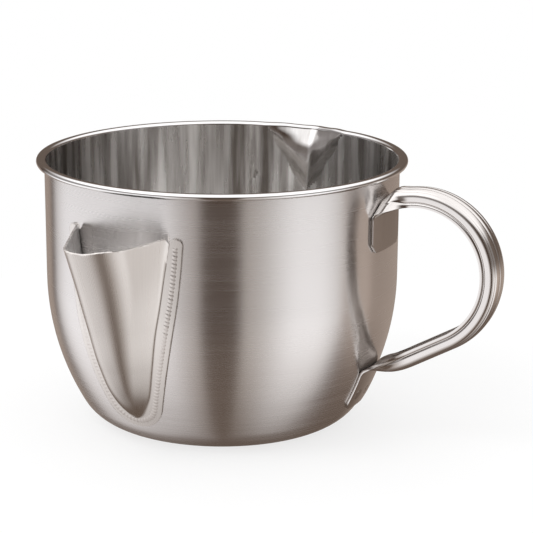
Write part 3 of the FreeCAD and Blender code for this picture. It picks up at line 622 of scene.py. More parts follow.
def finish_piece(piece: bpy.types.Object, slot: str, *nodes: str,
                 sharp: float = 38.0) -> bpy.types.Object:
    """Scale a piece to metres, smooth it and hand it to the frame.

    Args:
        piece: The piece, in millimetres.
        slot: Not used.
        *nodes: Nodes of the frame that it stands for.
        sharp: Angle in degrees from which an edge is shaded sharp.

    Returns:
        The same piece.
    """
    piece.data.transform(Matrix.Scale(MM, 4))
    piece.data.shade_smooth()
    piece.data.set_sharp_from_angle(angle=math.radians(sharp))
    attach(piece, "root")
    if nodes:
        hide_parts(*nodes)
    log.info("%s: %d faces", piece.name, len(piece.data.polygons))
    return piece


def turned(x: float, y: float, z: float, azimuth: float) -> Vector:
    """Point of a spout's own frame, turned to its azimuth on the bowl."""
    return Vector((x * math.cos(azimuth) - y * math.sin(azimuth),
                   x * math.sin(azimuth) + y * math.cos(azimuth), z))


# ---------------------------------------------------------------- the bowl

@dataclass
class Bowl:
    """Drawn bowl with its pressed pouring lip, rolled rim and feed holes.

    Attributes:
        form: Half outline of its outside.
        lip: Form of the pressed lip.
        lip_sector: Azimuth either side of the lip's middle that is pressed and meshed finely.
        lip_margin: Factor on that sector beyond which the rim's dip moves nothing either.
        lip_fade: How far below the lip's lowest section the sheet may be moved.
        lip_steps: Steps of the mesh across the lip's sector.
        round_steps: Steps of the mesh round the rest of the bowl.
        rise_steps: Steps of the mesh up the heel, the belly and the wall.
        dip_start: Height from which the wall follows the rim's dip.
        crease: Width over which the corner between lip and wall is rounded.
        hole: Diameter of a feed hole.
        hole_pitch: Distance from row to row and from hole to hole.
        hole_height: Height of the lowest hole.
        hole_rows: Rows of holes, with one hole more in each.
        hole_sides: Sides that a hole has in the mesh.
        punch_length: Length of the cylinder that cuts a hole.
        rim_radius: Outer radius of the rolled rim.
        roll_half_width: Half the width of the roll.
        roll_half_height: Half its height.
        roll_gap: Gap between the roll's free edge and the wall.
        roll_step: Step round the roll's rounded ends, in degrees.
        shoulder: Radius of the bend where the rim turns out to the lip.
        rim_size: Length of the rim and of its section's outline, for the grain.
    """

    form: WallForm = WALL
    lip: PressedForm = LIP
    lip_sector: float = math.radians(20.0)
    lip_margin: float = 1.4
    lip_fade: float = 6.0
    lip_steps: int = 190
    round_steps: int = 216
    rise_steps: tuple[int, int, int] = (14, 26, 44)
    dip_start: float = 86.0
    crease: float = 1.0
    hole: float = 4.6
    hole_pitch: float = 7.4
    hole_height: float = 22.0
    hole_rows: int = 3
    hole_sides: int = 36
    punch_length: float = 24.0
    rim_radius: float = 70.0
    roll_half_width: float = 1.875
    roll_half_height: float = 1.2
    roll_gap: float = 0.4
    roll_step: int = 15
    shoulder: float = 14.0
    rim_size: tuple[float, float] = (420.0, 14.0)

    def build(self) -> list[bpy.types.Object]:
        """Build the bowl and its rim.

        Returns:
            The finished pieces.
        """
        shell = self.drawn_shell()
        self.punch(shell)
        rim = self.rolled_rim()
        return [finish_piece(shell, "bowl_steel", "pot_body"), finish_piece(rim, "bowl_steel")]

    def drawn_shell(self) -> bpy.types.Object:
        """Spin the sheet's outline round the axis and press the lip out of it.

        Returns:
            The shell, with its outside satin and its inside polished, with painted reflection streaks.
        """
        outside = self.form.outline(0.0, *self.rise_steps)
        inside = self.form.outline(self.form.sheet, *self.rise_steps)
        bm = bmesh.new()
        verts = [bm.verts.new((r, 0.0, z)) for r, z in outside + inside[::-1]]
        edges = [bm.edges.new(pair) for pair in zip(verts, verts[1:])]
        start = Matrix.Rotation(self.lip.azimuth - self.lip_sector, 3, "Z")
        bmesh.ops.rotate(bm, cent=(0, 0, 0), matrix=start, verts=verts)
        end = verts + edges
        for angle, count in ((2 * self.lip_sector, self.lip_steps),
                             (2 * math.pi - 2 * self.lip_sector, self.round_steps)):
            end = bmesh.ops.spin(bm, geom=end, cent=(0, 0, 0), axis=(0, 0, 1), angle=angle,
                                 steps=count, use_merge=False)["geom_last"]
        bmesh.ops.remove_doubles(bm, verts=bm.verts, dist=1e-4)
        bmesh.ops.recalc_face_normals(bm, faces=bm.faces)
        self.lay_grain(bm)
        for vert in bm.verts:
            vert.co = self.pressed(vert.co)
        shell = as_object("drawn_bowl", bm)
        for finish in (SATIN, MIRROR, PRESSED):
            shell.data.materials.append(finish.make())
        return shell

    @property
    def lip_start(self) -> float:
        """Height from which the lip's pressing may move the sheet."""
        return self.lip.sections[0].height - self.lip_fade

    def is_inside(self, spot: Vector) -> bool:
        """Tell whether a point of the unpressed sheet lies on its inner face.

        Args:
            spot: The point.

        Returns:
            True on the inner face.
        """
        half = self.form.sheet / 2
        reach = math.hypot(spot.x, spot.y)
        return spot.z > half and reach < self.form.radius(spot.z) - half

    def lay_grain(self, bm: bmesh.types.BMesh) -> None:
        """Give each face its finish and a grain that runs round the bowl.

        Args:
            bm: The unpressed shell.
        """
        grain = bm.loops.layers.uv.new(GRAIN)
        for face in bm.faces:
            middle = face.calc_center_median()
            facing = math.atan2(middle.y, middle.x)
            face.material_index = 0
            if self.is_inside(middle):
                face.material_index = 2 if self.on_lip(facing, middle.z) else 1
            for loop in face.loops:
                spot = loop.vert.co
                reach = math.hypot(spot.x, spot.y)
                azimuth = facing
                if reach > 1e-3:
                    azimuth += wrapped(math.atan2(spot.y, spot.x) - facing)
                rise = spot.z - max(self.form.base - reach, 0.0)
                loop[grain].uv = (azimuth * self.form.wall_radius, rise)

    def on_lip(self, azimuth: float, height: float) -> bool:
        """Tell whether the lip's pressing has moved a place of the inner face outwards.

        Args:
            azimuth: Azimuth of the place.
            height: Height of the place.

        Returns:
            True on the pressed lip.
        """
        turn = wrapped(azimuth - self.lip.azimuth)
        if abs(turn) > self.lip_sector or height < self.lip_start:
            return False
        sheet = self.form.sheet
        return self.lip.radius(turn, height, sheet) > self.form.radius(height, sheet)

    def pressed(self, spot: Vector) -> Vector:
        """Move a point of the round shell to where the pressed lip has it.

        Args:
            spot: Point of the unpressed shell.

        Returns:
            The point on the pressed shell.
        """
        reach, azimuth = math.hypot(spot.x, spot.y), math.atan2(spot.y, spot.x)
        turn = wrapped(azimuth - self.lip.azimuth)
        if abs(turn) > self.lip_margin * self.lip_sector or spot.z < self.lip_start:
            return spot
        inset = self.form.sheet if self.is_inside(spot) else 0.0
        lip = self.lip.radius(turn, spot.z, inset) if abs(turn) < self.lip_sector else 0.0
        reach = blend_over(lip, reach, self.crease)
        top = ease((spot.z - self.dip_start) / (self.form.wall_top - self.dip_start))
        height = spot.z - rim_dip(turn) * top
        return Vector((reach * math.cos(azimuth), reach * math.sin(azimuth), height))

    def punch(self, shell: bpy.types.Object) -> None:
        """Punch the triangle of feed holes, one, two and three to a row, behind the side spout.

        Args:
            shell: The pressed shell.
        """
        bm = bmesh.new()
        aim = Matrix.Rotation(POCKET.azimuth, 4, "Z") @ Matrix.Rotation(math.pi / 2, 4, "Y")
        for row in range(self.hole_rows):
            height = self.hole_height + row * self.hole_pitch
            for column in range(row + 1):
                across = (column - row / 2) * self.hole_pitch
                spot = turned(self.form.radius(height), across, height, POCKET.azimuth)
                bmesh.ops.create_cone(bm, cap_ends=True, segments=self.hole_sides,
                                      depth=self.punch_length, radius1=self.hole / 2,
                                      radius2=self.hole / 2, matrix=Matrix.Translation(spot) @ aim)
        punches = as_object("punches", bm)
        cut = shell.modifiers.new("feed_holes", "BOOLEAN")
        cut.operation = "DIFFERENCE"
        cut.solver = "EXACT"
        cut.object = punches
        settle(shell)
        bpy.data.objects.remove(punches)

    def rim_line(self) -> list[tuple[float, float, float]]:
        """Middle line of the rolled rim, round the wall and out round the lip.

        Returns:
            Stations as x, y and outward azimuth in the lip's own frame, once round.
        """
        top = self.lip.sections[-1]
        lean = math.radians(top.slope)
        ring = self.rim_radius - self.roll_half_width
        tip = top.nose + self.roll_half_width - self.form.sheet
        centre = top.reach - top.nose
        reach = centre * math.cos(lean) + tip
        turn = lean - math.acos((reach + self.shoulder) / (ring + self.shoulder))
        pivot = Vector((math.cos(turn), math.sin(turn))) * (ring + self.shoulder)
        bend = pivot - Vector((math.cos(lean), math.sin(lean))) * self.shoulder
        nose = Vector((centre + tip * math.cos(lean), tip * math.sin(lean)))
        nose_steps, side_steps, bend_steps, ring_steps = 12, 12, 8, 110
        half = []
        for step in range(nose_steps + 1):
            angle = lean * step / nose_steps
            half.append((centre + tip * math.cos(angle), tip * math.sin(angle), angle))
        half += [(*nose.lerp(bend, step / side_steps), lean) for step in range(1, side_steps + 1)]
        for step in range(1, bend_steps + 1):
            angle = lean + (turn - lean) * step / bend_steps
            half.append((pivot.x - self.shoulder * math.cos(angle),
                         pivot.y - self.shoulder * math.sin(angle), angle))
        for step in range(1, ring_steps + 1):
            angle = turn + (math.pi - turn) * step / ring_steps
            half.append((ring * math.cos(angle), ring * math.sin(angle), angle))
        return half + [(x, -y, -angle) for x, y, angle in half[-2:0:-1]]

    def roll_section(self) -> list[tuple[float, float]]:
        """Section of the rolled rim: the sheet turned outwards and down to just short of the wall.

        Returns:
            Points as distance outwards and upwards from the rim's middle line, once round.
        """
        sheet, high = self.form.sheet, self.roll_half_height
        flat, inner = self.roll_half_width - high, high - sheet
        free = sheet + self.roll_gap - self.roll_half_width

        def curl(side: float, radius: float, first: int, last: int) -> list[tuple[float, float]]:
            """Walk round one end of the roll.

            Args:
                side: Place of the end's centre across the roll.
                radius: Radius of the end.
                first: Angle at which it starts, in degrees.
                last: Angle at which it ends, in degrees.

            Returns:
                Points as distance outwards and upwards.
            """
            step = self.roll_step if last > first else -self.roll_step
            return [(side + radius * math.cos(math.radians(k)), radius * math.sin(math.radians(k)))
                    for k in range(first, last + step, step)]

        outside = curl(-flat, high, 180, 90) + curl(flat, high, 90, -90) + [(free, -high)]
        hollow = [(free, -inner)] + curl(flat, inner, -90, 90) + curl(-flat, inner, 90, 180)
        return outside + hollow

    def rolled_rim(self) -> bpy.types.Object:
        """Carry the roll's section round the rim's line.

        Returns:
            The rim.
        """
        line, section = self.rim_line(), self.roll_section()

        def place(along: float, round_it: float) -> Vector:
            """Find a point of the roll.

            Args:
                along: Share of the way round the rim.
                round_it: Share of the way round the section.

            Returns:
                The point, on the bowl.
            """
            x, y, facing = line[round(along * len(line)) % len(line)]
            out, up = section[round(round_it * len(section)) % len(section)]
            dip = rim_dip(math.atan2(y, x))
            return turned(x + out * math.cos(facing), y + out * math.sin(facing),
                          self.form.wall_top + up - dip, self.lip.azimuth)

        rim = sheet_grid("rolled_rim", len(line), len(section), self.rim_size, place)
        bm = bmesh.new()
        bm.from_mesh(rim.data)
        bmesh.ops.recalc_face_normals(bm, faces=bm.faces)
        bm.to_mesh(rim.data)
        bm.free()
        rim.data.materials.append(BEAD.make())
        return rim


# ---------------------------------------------------------------- the side spout

@dataclass(frozen=True)
class Ripples:
    """The overlapping fused spots of a seam weld.

    Attributes:
        pitch: Distance from one spot to the next.
        steps: Steps of the mesh in a spot.
        height: Height of the crests.
        faintest: Share of that height that the faintest spot has.
        seed: Seed of the spots' random heights.
        bow: How far a spot's front curves back at the seam's edges, in spots.
        front: Share of a spot that its steep front takes up.
        peak: What the crest adds at the top of that front, as a share of the height.
        low: What is left of the height between the crests.
        sunk: How far the weld's edges lie below the flange's face.
    """

    pitch: float = 1.45
    steps: int = 6
    height: float = 0.2
    faintest: float = 0.7
    seed: int = 7
    bow: float = 0.35
    front: float = 0.12
    peak: float = 0.77
    low: float = 0.25
    sunk: float = 0.03

    def profile(self, beat: float) -> float:
        """Find the share of the height that a place along the seam has.

        Args:
            beat: The place, counted in spots.

        Returns:
            Its share of the height.
        """
        scale = beat - math.floor(beat)
        crest = (1.0 - scale) ** 2 if scale > self.front else self.peak * scale / self.front
        return self.low + crest


@dataclass
class SideSpout:
    """Pressed side spout with its flange, and the seam weld along the flange.

    Attributes:
        form: Half outline of the bowl's outside.
        pocket: Form of the pocket on the handle's side.
        far_pocket: Form of the pocket on the other side.
        foot: Height of the flange's lowest point.
        foot_radius: Radius of the flange's rounded foot.
        side_radius: Radius of the flange's slightly curved sides.
        end_half: Half the flange's width at its upper end.
        end_height: Height of the middle of the upper end's arc.
        end_radius: Radius of that arc.
        mouth: Height at which the mouth's edge would meet the wall.
        mouth_fall: Angle at which the mouth's edge falls towards the nose.
        mouth_swell: How far the mouth's edge swells up on the handle's side.
        swell_middle: Distance of that swelling from the middle plane.
        swell_half: Half its width.
        notch: Depth of the notch between the mouth's edge and the flange's end.
        notch_middle: Distance of the notch from the pocket's edge.
        notch_half: Half its width.
        crease_width: Width over which the corner between pocket and flange is rounded.
        least_pocket: Least width of the pocket, as a share of the flange's width.
        pocket_share: Share of the mesh's columns that lie on the pocket.
        grid_steps: Steps of the mesh along and across the sheet.
        row_bias: Share of the way up over which the mesh's rows lie closer together.
        lift_start: Height from which the rows bend towards the sheet's upper edge.
        flat_size: Length and width of the sheet, for the grain.
        edge: Width of the sheet's eased edges.
        seat_gap: Gap between flange and wall.
        ripples: Form of the seam weld.
        seam_inset: Distance of the seam from the flange's edge.
        seam_end: How far the seam stops below the flange's upper end.
        seam_half: Half the weld's width.
        seam_columns: Steps of the mesh across the weld.
        seam_depth: Thickness of the weld's ribbon.
        seam_edge: Width of its eased edges.
    """

    form: WallForm = WALL
    pocket: PressedForm = POCKET
    far_pocket: PressedForm = POCKET_FAR
    foot: float = 9.8
    foot_radius: float = 12.6
    side_radius: float = 220.0
    end_half: float = 24.8
    end_height: float = 82.9
    end_radius: float = 2.5
    mouth: float = 85.4
    mouth_fall: float = math.radians(4.8)
    mouth_swell: float = 0.7
    swell_middle: float = 10.5
    swell_half: float = 7.0
    notch: float = 0.6
    notch_middle: float = 0.3
    notch_half: float = 0.7
    crease_width: float = 0.8
    least_pocket: float = 0.42
    pocket_share: float = 0.74
    grid_steps: int = 150
    row_bias: float = 0.12
    lift_start: float = 55.0
    flat_size: tuple[float, float] = (90.0, 60.0)
    edge: float = 0.12
    seat_gap: float = 0.03
    ripples: Ripples = Ripples()
    seam_inset: float = 2.6
    seam_end: float = 1.0
    seam_half: float = 1.15
    seam_columns: int = 8
    seam_depth: float = 0.25
    seam_edge: float = 0.02

    def build(self) -> list[bpy.types.Object]:
        """Build the spout and its seam weld.

        Returns:
            The finished pieces.
        """
        spout = sheet_grid("side_spout", self.grid_steps, self.grid_steps, self.flat_size, self.place)
        face_away(spout, self.outward)
        thicken(spout, self.form.sheet, self.edge, SPOUT, SPOUT_INSIDE)
        weld = self.seam_weld()
        return [finish_piece(spout, "spout_steel", "side_spout", sharp=70.0),
                finish_piece(weld, "weld_steel", "side_spout_seam_weld")]

    def outward(self, _: Vector) -> Vector:
        """Direction away from the bowl, the same for all of the spout."""
        return turned(1.0, 0.0, 0.0, self.pocket.azimuth)

    @property
    def side(self) -> tuple[float, float, float]:
        """Work out where the flange's foot runs into its sides.

        Returns:
            The turn of that place, and the centre of the side's arc across and up.
        """
        shift, rise = self.side_radius - self.foot_radius, self.end_height - self.foot_middle
        span = math.hypot(self.end_half, rise)
        turn = math.acos((self.side_radius ** 2 - shift ** 2 - span ** 2) / (2 * shift * span))
        turn -= math.atan2(rise, self.end_half)
        return turn, -shift * math.cos(turn), self.foot_middle + shift * math.sin(turn)

    @property
    def foot_middle(self) -> float:
        """Height of the middle of the flange's foot arc."""
        return self.foot + self.foot_radius

    def half_width(self, height: float) -> float:
        """Half the width of the flange at a height.

        Args:
            height: Height above the table.

        Returns:
            Distance of the flange's edge from the middle plane.
        """
        turn, across, level = self.side
        if height < self.foot_middle - self.foot_radius * math.sin(turn):
            return math.sqrt(max(self.foot_radius ** 2 - (self.foot_middle - height) ** 2, 0.0))
        return across + math.sqrt(self.side_radius ** 2 - (height - level) ** 2)

    def crease(self, height: float) -> float:
        """Half the width of the pocket where it meets the flange.

        Args:
            height: Height above the table.

        Returns:
            Distance from the middle plane, at least a share of the flange's half width.
        """
        section = self.pocket.at(height)
        lean, base = math.radians(section.slope), self.form.radius(height, -self.form.sheet)
        away = (section.reach - section.nose) * math.cos(lean) + section.nose
        least = self.least_pocket * self.half_width(height)
        if away > base:
            return least
        return max(base * math.sin(lean - math.acos(away / base)), least)

    def top(self, form: PressedForm, across: float, crease: float) -> float:
        """Height of the sheet's upper edge.

        Args:
            form: The pocket's form on this side.
            across: Distance from the middle plane.
            crease: Half the width of the pocket there.

        Returns:
            Height of the mouth's edge, or of the flange's rounded end.
        """
        if across <= crease:
            fall = (form.reach(across, self.mouth) - self.form.wall_radius) * math.tan(self.mouth_fall)
            swell = self.mouth_swell if form is self.pocket else 0.0
            return self.mouth - fall + swell * hump((across - self.swell_middle) / self.swell_half)
        middle = self.end_half - self.end_radius
        rounded = math.sqrt(max(self.end_radius ** 2 - (across - middle) ** 2, 0.0))
        dent = self.notch * hump((across - crease - self.notch_middle) / self.notch_half)
        return self.end_height + rounded - dent

    def place(self, up: float, across_share: float) -> Vector:
        """Point of the sheet's outer face.

        Args:
            up: Share of the way from the foot to the upper edge.
            across_share: Share of the way from one edge to the other.

        Returns:
            The point, on the bowl.
        """
        span = self.end_height - self.foot
        height = self.foot + span * up * up * (1.0 + self.row_bias) / (up + self.row_bias)
        side = 2.0 * across_share - 1.0
        share, half, crease = abs(side), self.half_width(height), self.crease(height)
        if share < self.pocket_share:
            across = crease * share / self.pocket_share
        else:
            across = crease + (half - crease) * (share - self.pocket_share) / (1 - self.pocket_share)
        form = self.pocket if side > 0.0 else self.far_pocket
        lift = ease((height - self.lift_start) / (self.end_height - self.lift_start))
        height += (self.top(form, across, crease) - self.end_height) * lift
        base = self.form.radius(height, -self.form.sheet - self.seat_gap)
        x = math.sqrt(base ** 2 - across ** 2)
        x = blend_over(form.reach(across, height), x, self.crease_width)
        return turned(x, math.copysign(across, side), height, self.pocket.azimuth)

    def seam_weld(self) -> bpy.types.Object:
        """Lay overlapping ripples along the middle of the flange.

        Returns:
            The weld.
        """
        ripples = self.ripples
        turn, across, level = self.side
        top = math.asin((self.end_height - self.seam_end - level) / self.side_radius)
        side_radius = self.side_radius - self.seam_inset
        foot_radius = self.foot_radius - self.seam_inset
        side, foot = side_radius * (top + turn), foot_radius * (math.pi - 2 * turn)
        length = 2 * side + foot
        steps = round(length / ripples.pitch * ripples.steps)
        dice = random.Random(ripples.seed)
        count = round(length / ripples.pitch) + 2
        uneven = [dice.uniform(ripples.faintest, 1.0) for _ in range(count)]

        def line(run: float) -> tuple[float, float, float]:
            """Find a point of the seam's line.

            Args:
                run: Length along the seam from its upper end on the handle's side.

            Returns:
                The point across and up, and the seam's outward angle there.
            """
            if run < side:
                angle = top - run / side_radius
                radius, middle = side_radius, (across, level)
            elif run < side + foot:
                angle = -turn - (run - side) / foot_radius
                radius, middle = foot_radius, (0.0, self.foot_middle)
            else:
                angle = math.pi + turn - (run - side - foot) / side_radius
                radius, middle = side_radius, (-across, level)
            return middle[0] + radius * math.cos(angle), middle[1] + radius * math.sin(angle), angle

        def place(along: float, across_share: float) -> Vector:
            """Find a point of the weld.

            Args:
                along: Share of the way along the seam.
                across_share: Share of the way across it.

            Returns:
                The point, on the bowl.
            """
            run, wide = along * length, 2.0 * across_share - 1.0
            y, z, angle = line(run)
            y += wide * self.seam_half * math.cos(angle)
            z += wide * self.seam_half * math.sin(angle)
            beat = run / ripples.pitch + ripples.bow * wide * wide
            lens = 1.0 - wide * wide
            proud = ripples.height * uneven[int(beat)] * lens * ripples.profile(beat) - ripples.sunk
            base = self.form.radius(z, -self.form.sheet - self.seat_gap - proud)
            return turned(math.sqrt(base ** 2 - y ** 2), y, z, self.pocket.azimuth)

        size = (length, 2 * self.seam_half)
        weld = sheet_grid("seam_weld", steps, self.seam_columns, size, place)
        face_away(weld, self.outward)
        thicken(weld, self.seam_depth, self.seam_edge, WELD)
        return weld


# ---------------------------------------------------------------- the handle

class Tab(Enum):
    """The two ends of the handle's strap."""

    UPPER = "upper"
    LOWER = "lower"


@dataclass(frozen=True)
class Station:
    """One place along the strap.

    Attributes:
        x: Distance of the strap's open edges from the axis.
        z: Their height.
        heading: Direction in which the strap runs, above the horizontal.
        run: Length from the foot of the upper tab.
    """

    x: float
    z: float
    heading: float
    run: float


@dataclass(frozen=True)
class Groove:
    """A groove along the strap.

    Attributes:
        place: Distance from the strap's middle, measured on the flat sheet.
        depth: Depth of the groove.
        half: Half its width, about where it is a third as deep.
    """

    place: float
    depth: float
    half: float

    def at(self, along: float) -> float:
        """Depth of the groove at a distance from the middle."""
        return self.depth * math.exp(-((along - self.place) / self.half) ** 2)


@dataclass
class Handle:
    """Strap handle: a grooved channel that flattens into a tab at each end.

    Attributes:
        form: Half outline of the bowl's outside.
        strap: Thickness of the strap.
        grip_depth: Depth of the channel, from its crown to its edges.
        crown: Half the width of the slightly arched crown, measured on the flat sheet.
        crown_turn: Angle by which the face has turned at the crown's edge.
        corner: Radius of the corners between crown and sides.
        grooves: Grooves of one half of the section.
        upper_radius: Radius of the strap's upper bend.
        lower_radius: Radius of its lower bend.
        reach: Distance of the strap's open edges from the axis, where they are farthest out.
        height: Height of that place.
        rise: Angle at which the strap climbs away from the upper tab.
        fall: Angle at which it falls back to the bowl.
        upper_fold: Radius of the fold at the upper tab.
        lower_fold: Radius of the fold at the lower tab.
        upper_spread: Length over which the upper tab narrows into the channel.
        lower_spread: Length over which the channel opens into the lower tab.
        upper_half: Half the width of the upper tab.
        lower_half: Half the width of the lower tab.
        upper_foot: Height of the upper tab's end.
        upper_bend: How far the upper tab's sides are bent down, from 0 to 1.
        lower_foot: Height of the lower tab's end.
        lift_run: Length past the upper fold over which the arch turns square to the strap.
        upper_wrap: Length past the upper fold over which the strap leaves the wall's roundness.
        lower_wrap: Length before the lower fold over which it takes up that roundness.
        groove_run: Length past the upper fold over which the grooves set in.
        groove_start: Share of their depth that they have there.
        chamfer: Size of the tabs' cut corners.
        seat_gap: Gap between a tab and the wall.
        stride: Length of a step along the strap.
        cross_steps: Steps of the mesh across the strap.
        flat_width: Width of the flat sheet, for the grain.
        edge: Width of the strap's eased edges.
        upper_spots: Distance of the upper spot welds from the strap's middle, and their height.
        lower_spots: The same for the lower ones.
        spot_outline: Section of a spot weld, as radius and height above the tab.
        spot_steps: Steps of the mesh round a spot weld.
        stations: The strap's line, which walk() fills.
        upper_end: Run at which the upper fold ends.
        lower_start: Run at which the lower fold starts.
    """

    form: WallForm = WALL
    strap: float = 1.0
    grip_depth: float = 6.5
    crown: float = 4.2
    crown_turn: float = math.radians(16.0)
    corner: float = 2.3
    grooves: tuple[Groove, ...] = (Groove(1.6, 0.26, 0.5), Groove(4.7, 0.22, 0.32),
                                   Groove(9.3, 0.30, 0.4))
    upper_radius: float = 24.2
    lower_radius: float = 25.5
    reach: float = 105.6
    height: float = 66.6
    rise: float = math.radians(30.0)
    fall: float = math.radians(29.1)
    upper_fold: float = 1.4
    lower_fold: float = 5.0
    upper_spread: float = 10.0
    lower_spread: float = 16.0
    upper_half: float = 12.2
    lower_half: float = 9.3
    upper_foot: float = 73.4
    upper_bend: float = 0.4
    lower_foot: float = 11.5
    lift_run: float = 8.0
    upper_wrap: float = 5.0
    lower_wrap: float = 8.0
    groove_run: float = 3.0
    groove_start: float = 0.4
    chamfer: float = 3.0
    seat_gap: float = 0.04
    stride: float = 0.7
    cross_steps: int = 132
    flat_width: float = 24.0
    edge: float = 0.22
    upper_spots: tuple[float, float] = (5.2, 79.6)
    lower_spots: tuple[float, float] = (4.0, 16.6)
    spot_outline: tuple[tuple[float, float], ...] = (
        (0.0, 0.05), (0.8, 0.048), (1.5, 0.04), (2.0, 0.025), (2.2, 0.01), (2.2, -0.3), (0.0, -0.3))
    spot_steps: int = 32
    stations: list[Station] = field(default_factory=list)
    upper_end: float = 0.0
    lower_start: float = 0.0

    def build(self) -> list[bpy.types.Object]:
        """Build the strap and the spot welds on its tabs.

        Returns:
            The finished pieces.
        """
        self.walk()
        last = len(self.stations) - 1

        def place(along: float, across: float) -> Vector:
            """Point of the strap's outer face for a share along it and a share across it."""
            return self.strap_point(self.stations[round(along * last)], 2.0 * across - 1.0)

        size = (self.stations[-1].run, self.flat_width)
        strap = sheet_grid("strap_handle", last, self.cross_steps, size, place)
        middle = Vector((self.reach - self.upper_radius, 0.0, self.height))
        face_away(strap, lambda spot: Vector((spot.x - middle.x, 0.0, spot.z - middle.z)))
        thicken(strap, self.strap, self.edge, GRIP, GRIP_INSIDE)
        welds = [self.spot_welds(tab) for tab in Tab]
        return [finish_piece(strap, "handle_steel", "handle"),
                *(finish_piece(weld, "weld_steel", f"handle_{tab.value}_spot_welds")
                  for tab, weld in zip(Tab, welds))]

    def add_run(self, length: float, turn: float = 0.0) -> None:
        """Add a straight run or an arc to the strap's line.

        Args:
            length: Length of the run.
            turn: Angle that the run turns by, positive to the left.
        """
        steps = max(round(length / self.stride), 6 if turn else 1)
        for _ in range(steps):
            last = self.stations[-1]
            piece, bend = length / steps, turn / steps
            heading = last.heading + bend / 2
            chord = piece if not bend else piece * math.sin(bend / 2) / (bend / 2)
            self.stations.append(Station(last.x + chord * math.cos(heading),
                                         last.z + chord * math.sin(heading),
                                         last.heading + bend, last.run + piece))

    def walk(self) -> None:
        """Walk the strap from the foot of the upper tab to the foot of the lower one."""
        inner = self.form.wall_radius + self.strap + self.seat_gap
        self.stations = [Station(inner, self.upper_foot, math.pi / 2, 0.0)]
        start = (self.reach - self.upper_radius * (1 + math.sin(self.rise)),
                 self.height + self.upper_radius * math.cos(self.rise))
        corner = start[1] - (start[0] - inner) * math.tan(self.rise)
        fold = math.pi / 2 - self.rise
        back = self.upper_fold * math.tan(fold / 2)
        self.add_run(corner - back - self.upper_foot)
        self.add_run(self.upper_fold * fold, -fold)
        self.upper_end = self.stations[-1].run
        self.add_run((start[0] - inner) / math.cos(self.rise) - back)
        self.add_run(self.upper_radius * (math.pi / 2 + self.rise), -math.pi / 2 - self.rise)
        self.add_run(self.lower_radius * (math.pi / 2 - self.fall), self.fall - math.pi / 2)
        away = self.stations[-1]
        low, high = self.lower_foot, away.z
        while high - low > 1e-4:
            level = (low + high) / 2
            outside = away.x - (away.z - level) / math.tan(self.fall) > self.seat(level)
            low, high = (low, level) if outside else (level, high)
        turn = math.pi / 2 - self.fall - self.form.lean(level)
        back = self.lower_fold * math.tan(turn / 2)
        self.add_run((away.z - level) / math.sin(self.fall) - back)
        self.lower_start = self.stations[-1].run
        self.add_run(self.lower_fold * turn, turn)
        height = self.stations[-1].z
        steps = round((height - self.lower_foot) / self.stride)
        for step in range(1, steps + 1):
            z = height + (self.lower_foot - height) * step / steps
            last = self.stations[-1]
            x = self.seat(z)
            self.stations.append(Station(x, z, -math.pi / 2 - self.form.lean(z),
                                         last.run + math.hypot(x - last.x, z - last.z)))

    def seat(self, height: float) -> float:
        """Radius of the face that the lower tab lies on."""
        return self.form.radius(height, -self.seat_gap)

    @property
    def corner_run(self) -> float:
        """Length of the sheet in one corner of the section."""
        return self.corner * (math.pi / 2 - self.crown_turn)

    def section(self, bend: float, ribs: float, along: float) -> tuple[float, float, float]:
        """Half section of the strap's outer face.

        Args:
            bend: How far its sides are bent down, from 0 to 1.
            ribs: Share of their full depth that the grooves have.
            along: Distance from the strap's middle, measured on the flat sheet.

        Returns:
            Distance across, drop below the crown, and the angle of the face there.
        """
        across, drop, angle, left = 0.0, 0.0, 0.0, along
        for length, end in ((self.crown, bend * self.crown_turn),
                            (self.corner_run, bend * math.pi / 2)):
            piece, start = min(left, length), angle
            turn = (end - start) / length
            angle = start + turn * piece
            if abs(turn) > 1e-6:
                across += (math.sin(angle) - math.sin(start)) / turn
                drop += (math.cos(start) - math.cos(angle)) / turn
            else:
                across += piece * math.cos(angle)
                drop += piece * math.sin(angle)
            left -= piece
        across += left * math.cos(angle)
        drop += left * math.sin(angle)
        groove = ribs * sum(groove.at(along) for groove in self.grooves)
        return across - groove * math.sin(angle), drop + groove * math.cos(angle), angle

    def strap_point(self, station: Station, side: float) -> Vector:
        """Point of the strap's outer face.

        Args:
            station: Place along the strap.
            side: Share of the half width, negative on one side.

        Returns:
            The point.
        """
        past, ahead = station.run - self.upper_end, self.lower_start - station.run
        near = ease(past / self.upper_spread)
        still = min(max(ahead / self.lower_spread, 0.0), 1.0)
        far = still * (2.0 - still)
        bend = (self.upper_bend + (1.0 - self.upper_bend) * near) * far
        depth = self.groove_start + (1.0 - self.groove_start) * near
        ribs = ease(past / self.groove_run) * depth * far
        bent = self.crown + self.corner_run
        channel = bent + self.grip_depth - self.section(1.0, 0.0, bent)[1]
        spread = self.spread_half(self.upper_half, self.upper_bend)
        half = channel + (spread - channel) * (1 - near)
        half += (self.lower_half - channel) * (1 - far)
        half = min(half, spread - self.chamfer + station.run,
                   self.lower_half - self.chamfer + self.stations[-1].run - station.run)
        across, drop, angle = self.section(bend, ribs, abs(side) * half)
        _, edge, lean = self.section(bend, 0.0, half)
        arch = edge - drop - self.strap * (1.0 - math.cos(lean))
        arch *= min(station.run / self.upper_end, 1.0)
        away = station.heading + math.pi / 2
        lift = away + (math.pi / 2 - away) * (1.0 - ease(past / self.lift_run))
        wrap = max(1.0 - ease(past / self.upper_wrap), 1.0 - ease(ahead / self.lower_wrap))
        bow = station.x - math.sqrt(station.x ** 2 - across ** 2)
        return Vector((station.x + self.strap * math.cos(away) + arch * math.cos(lift) - wrap * bow,
                       math.copysign(across, side),
                       station.z + self.strap * math.sin(away) + arch * math.sin(lift)))

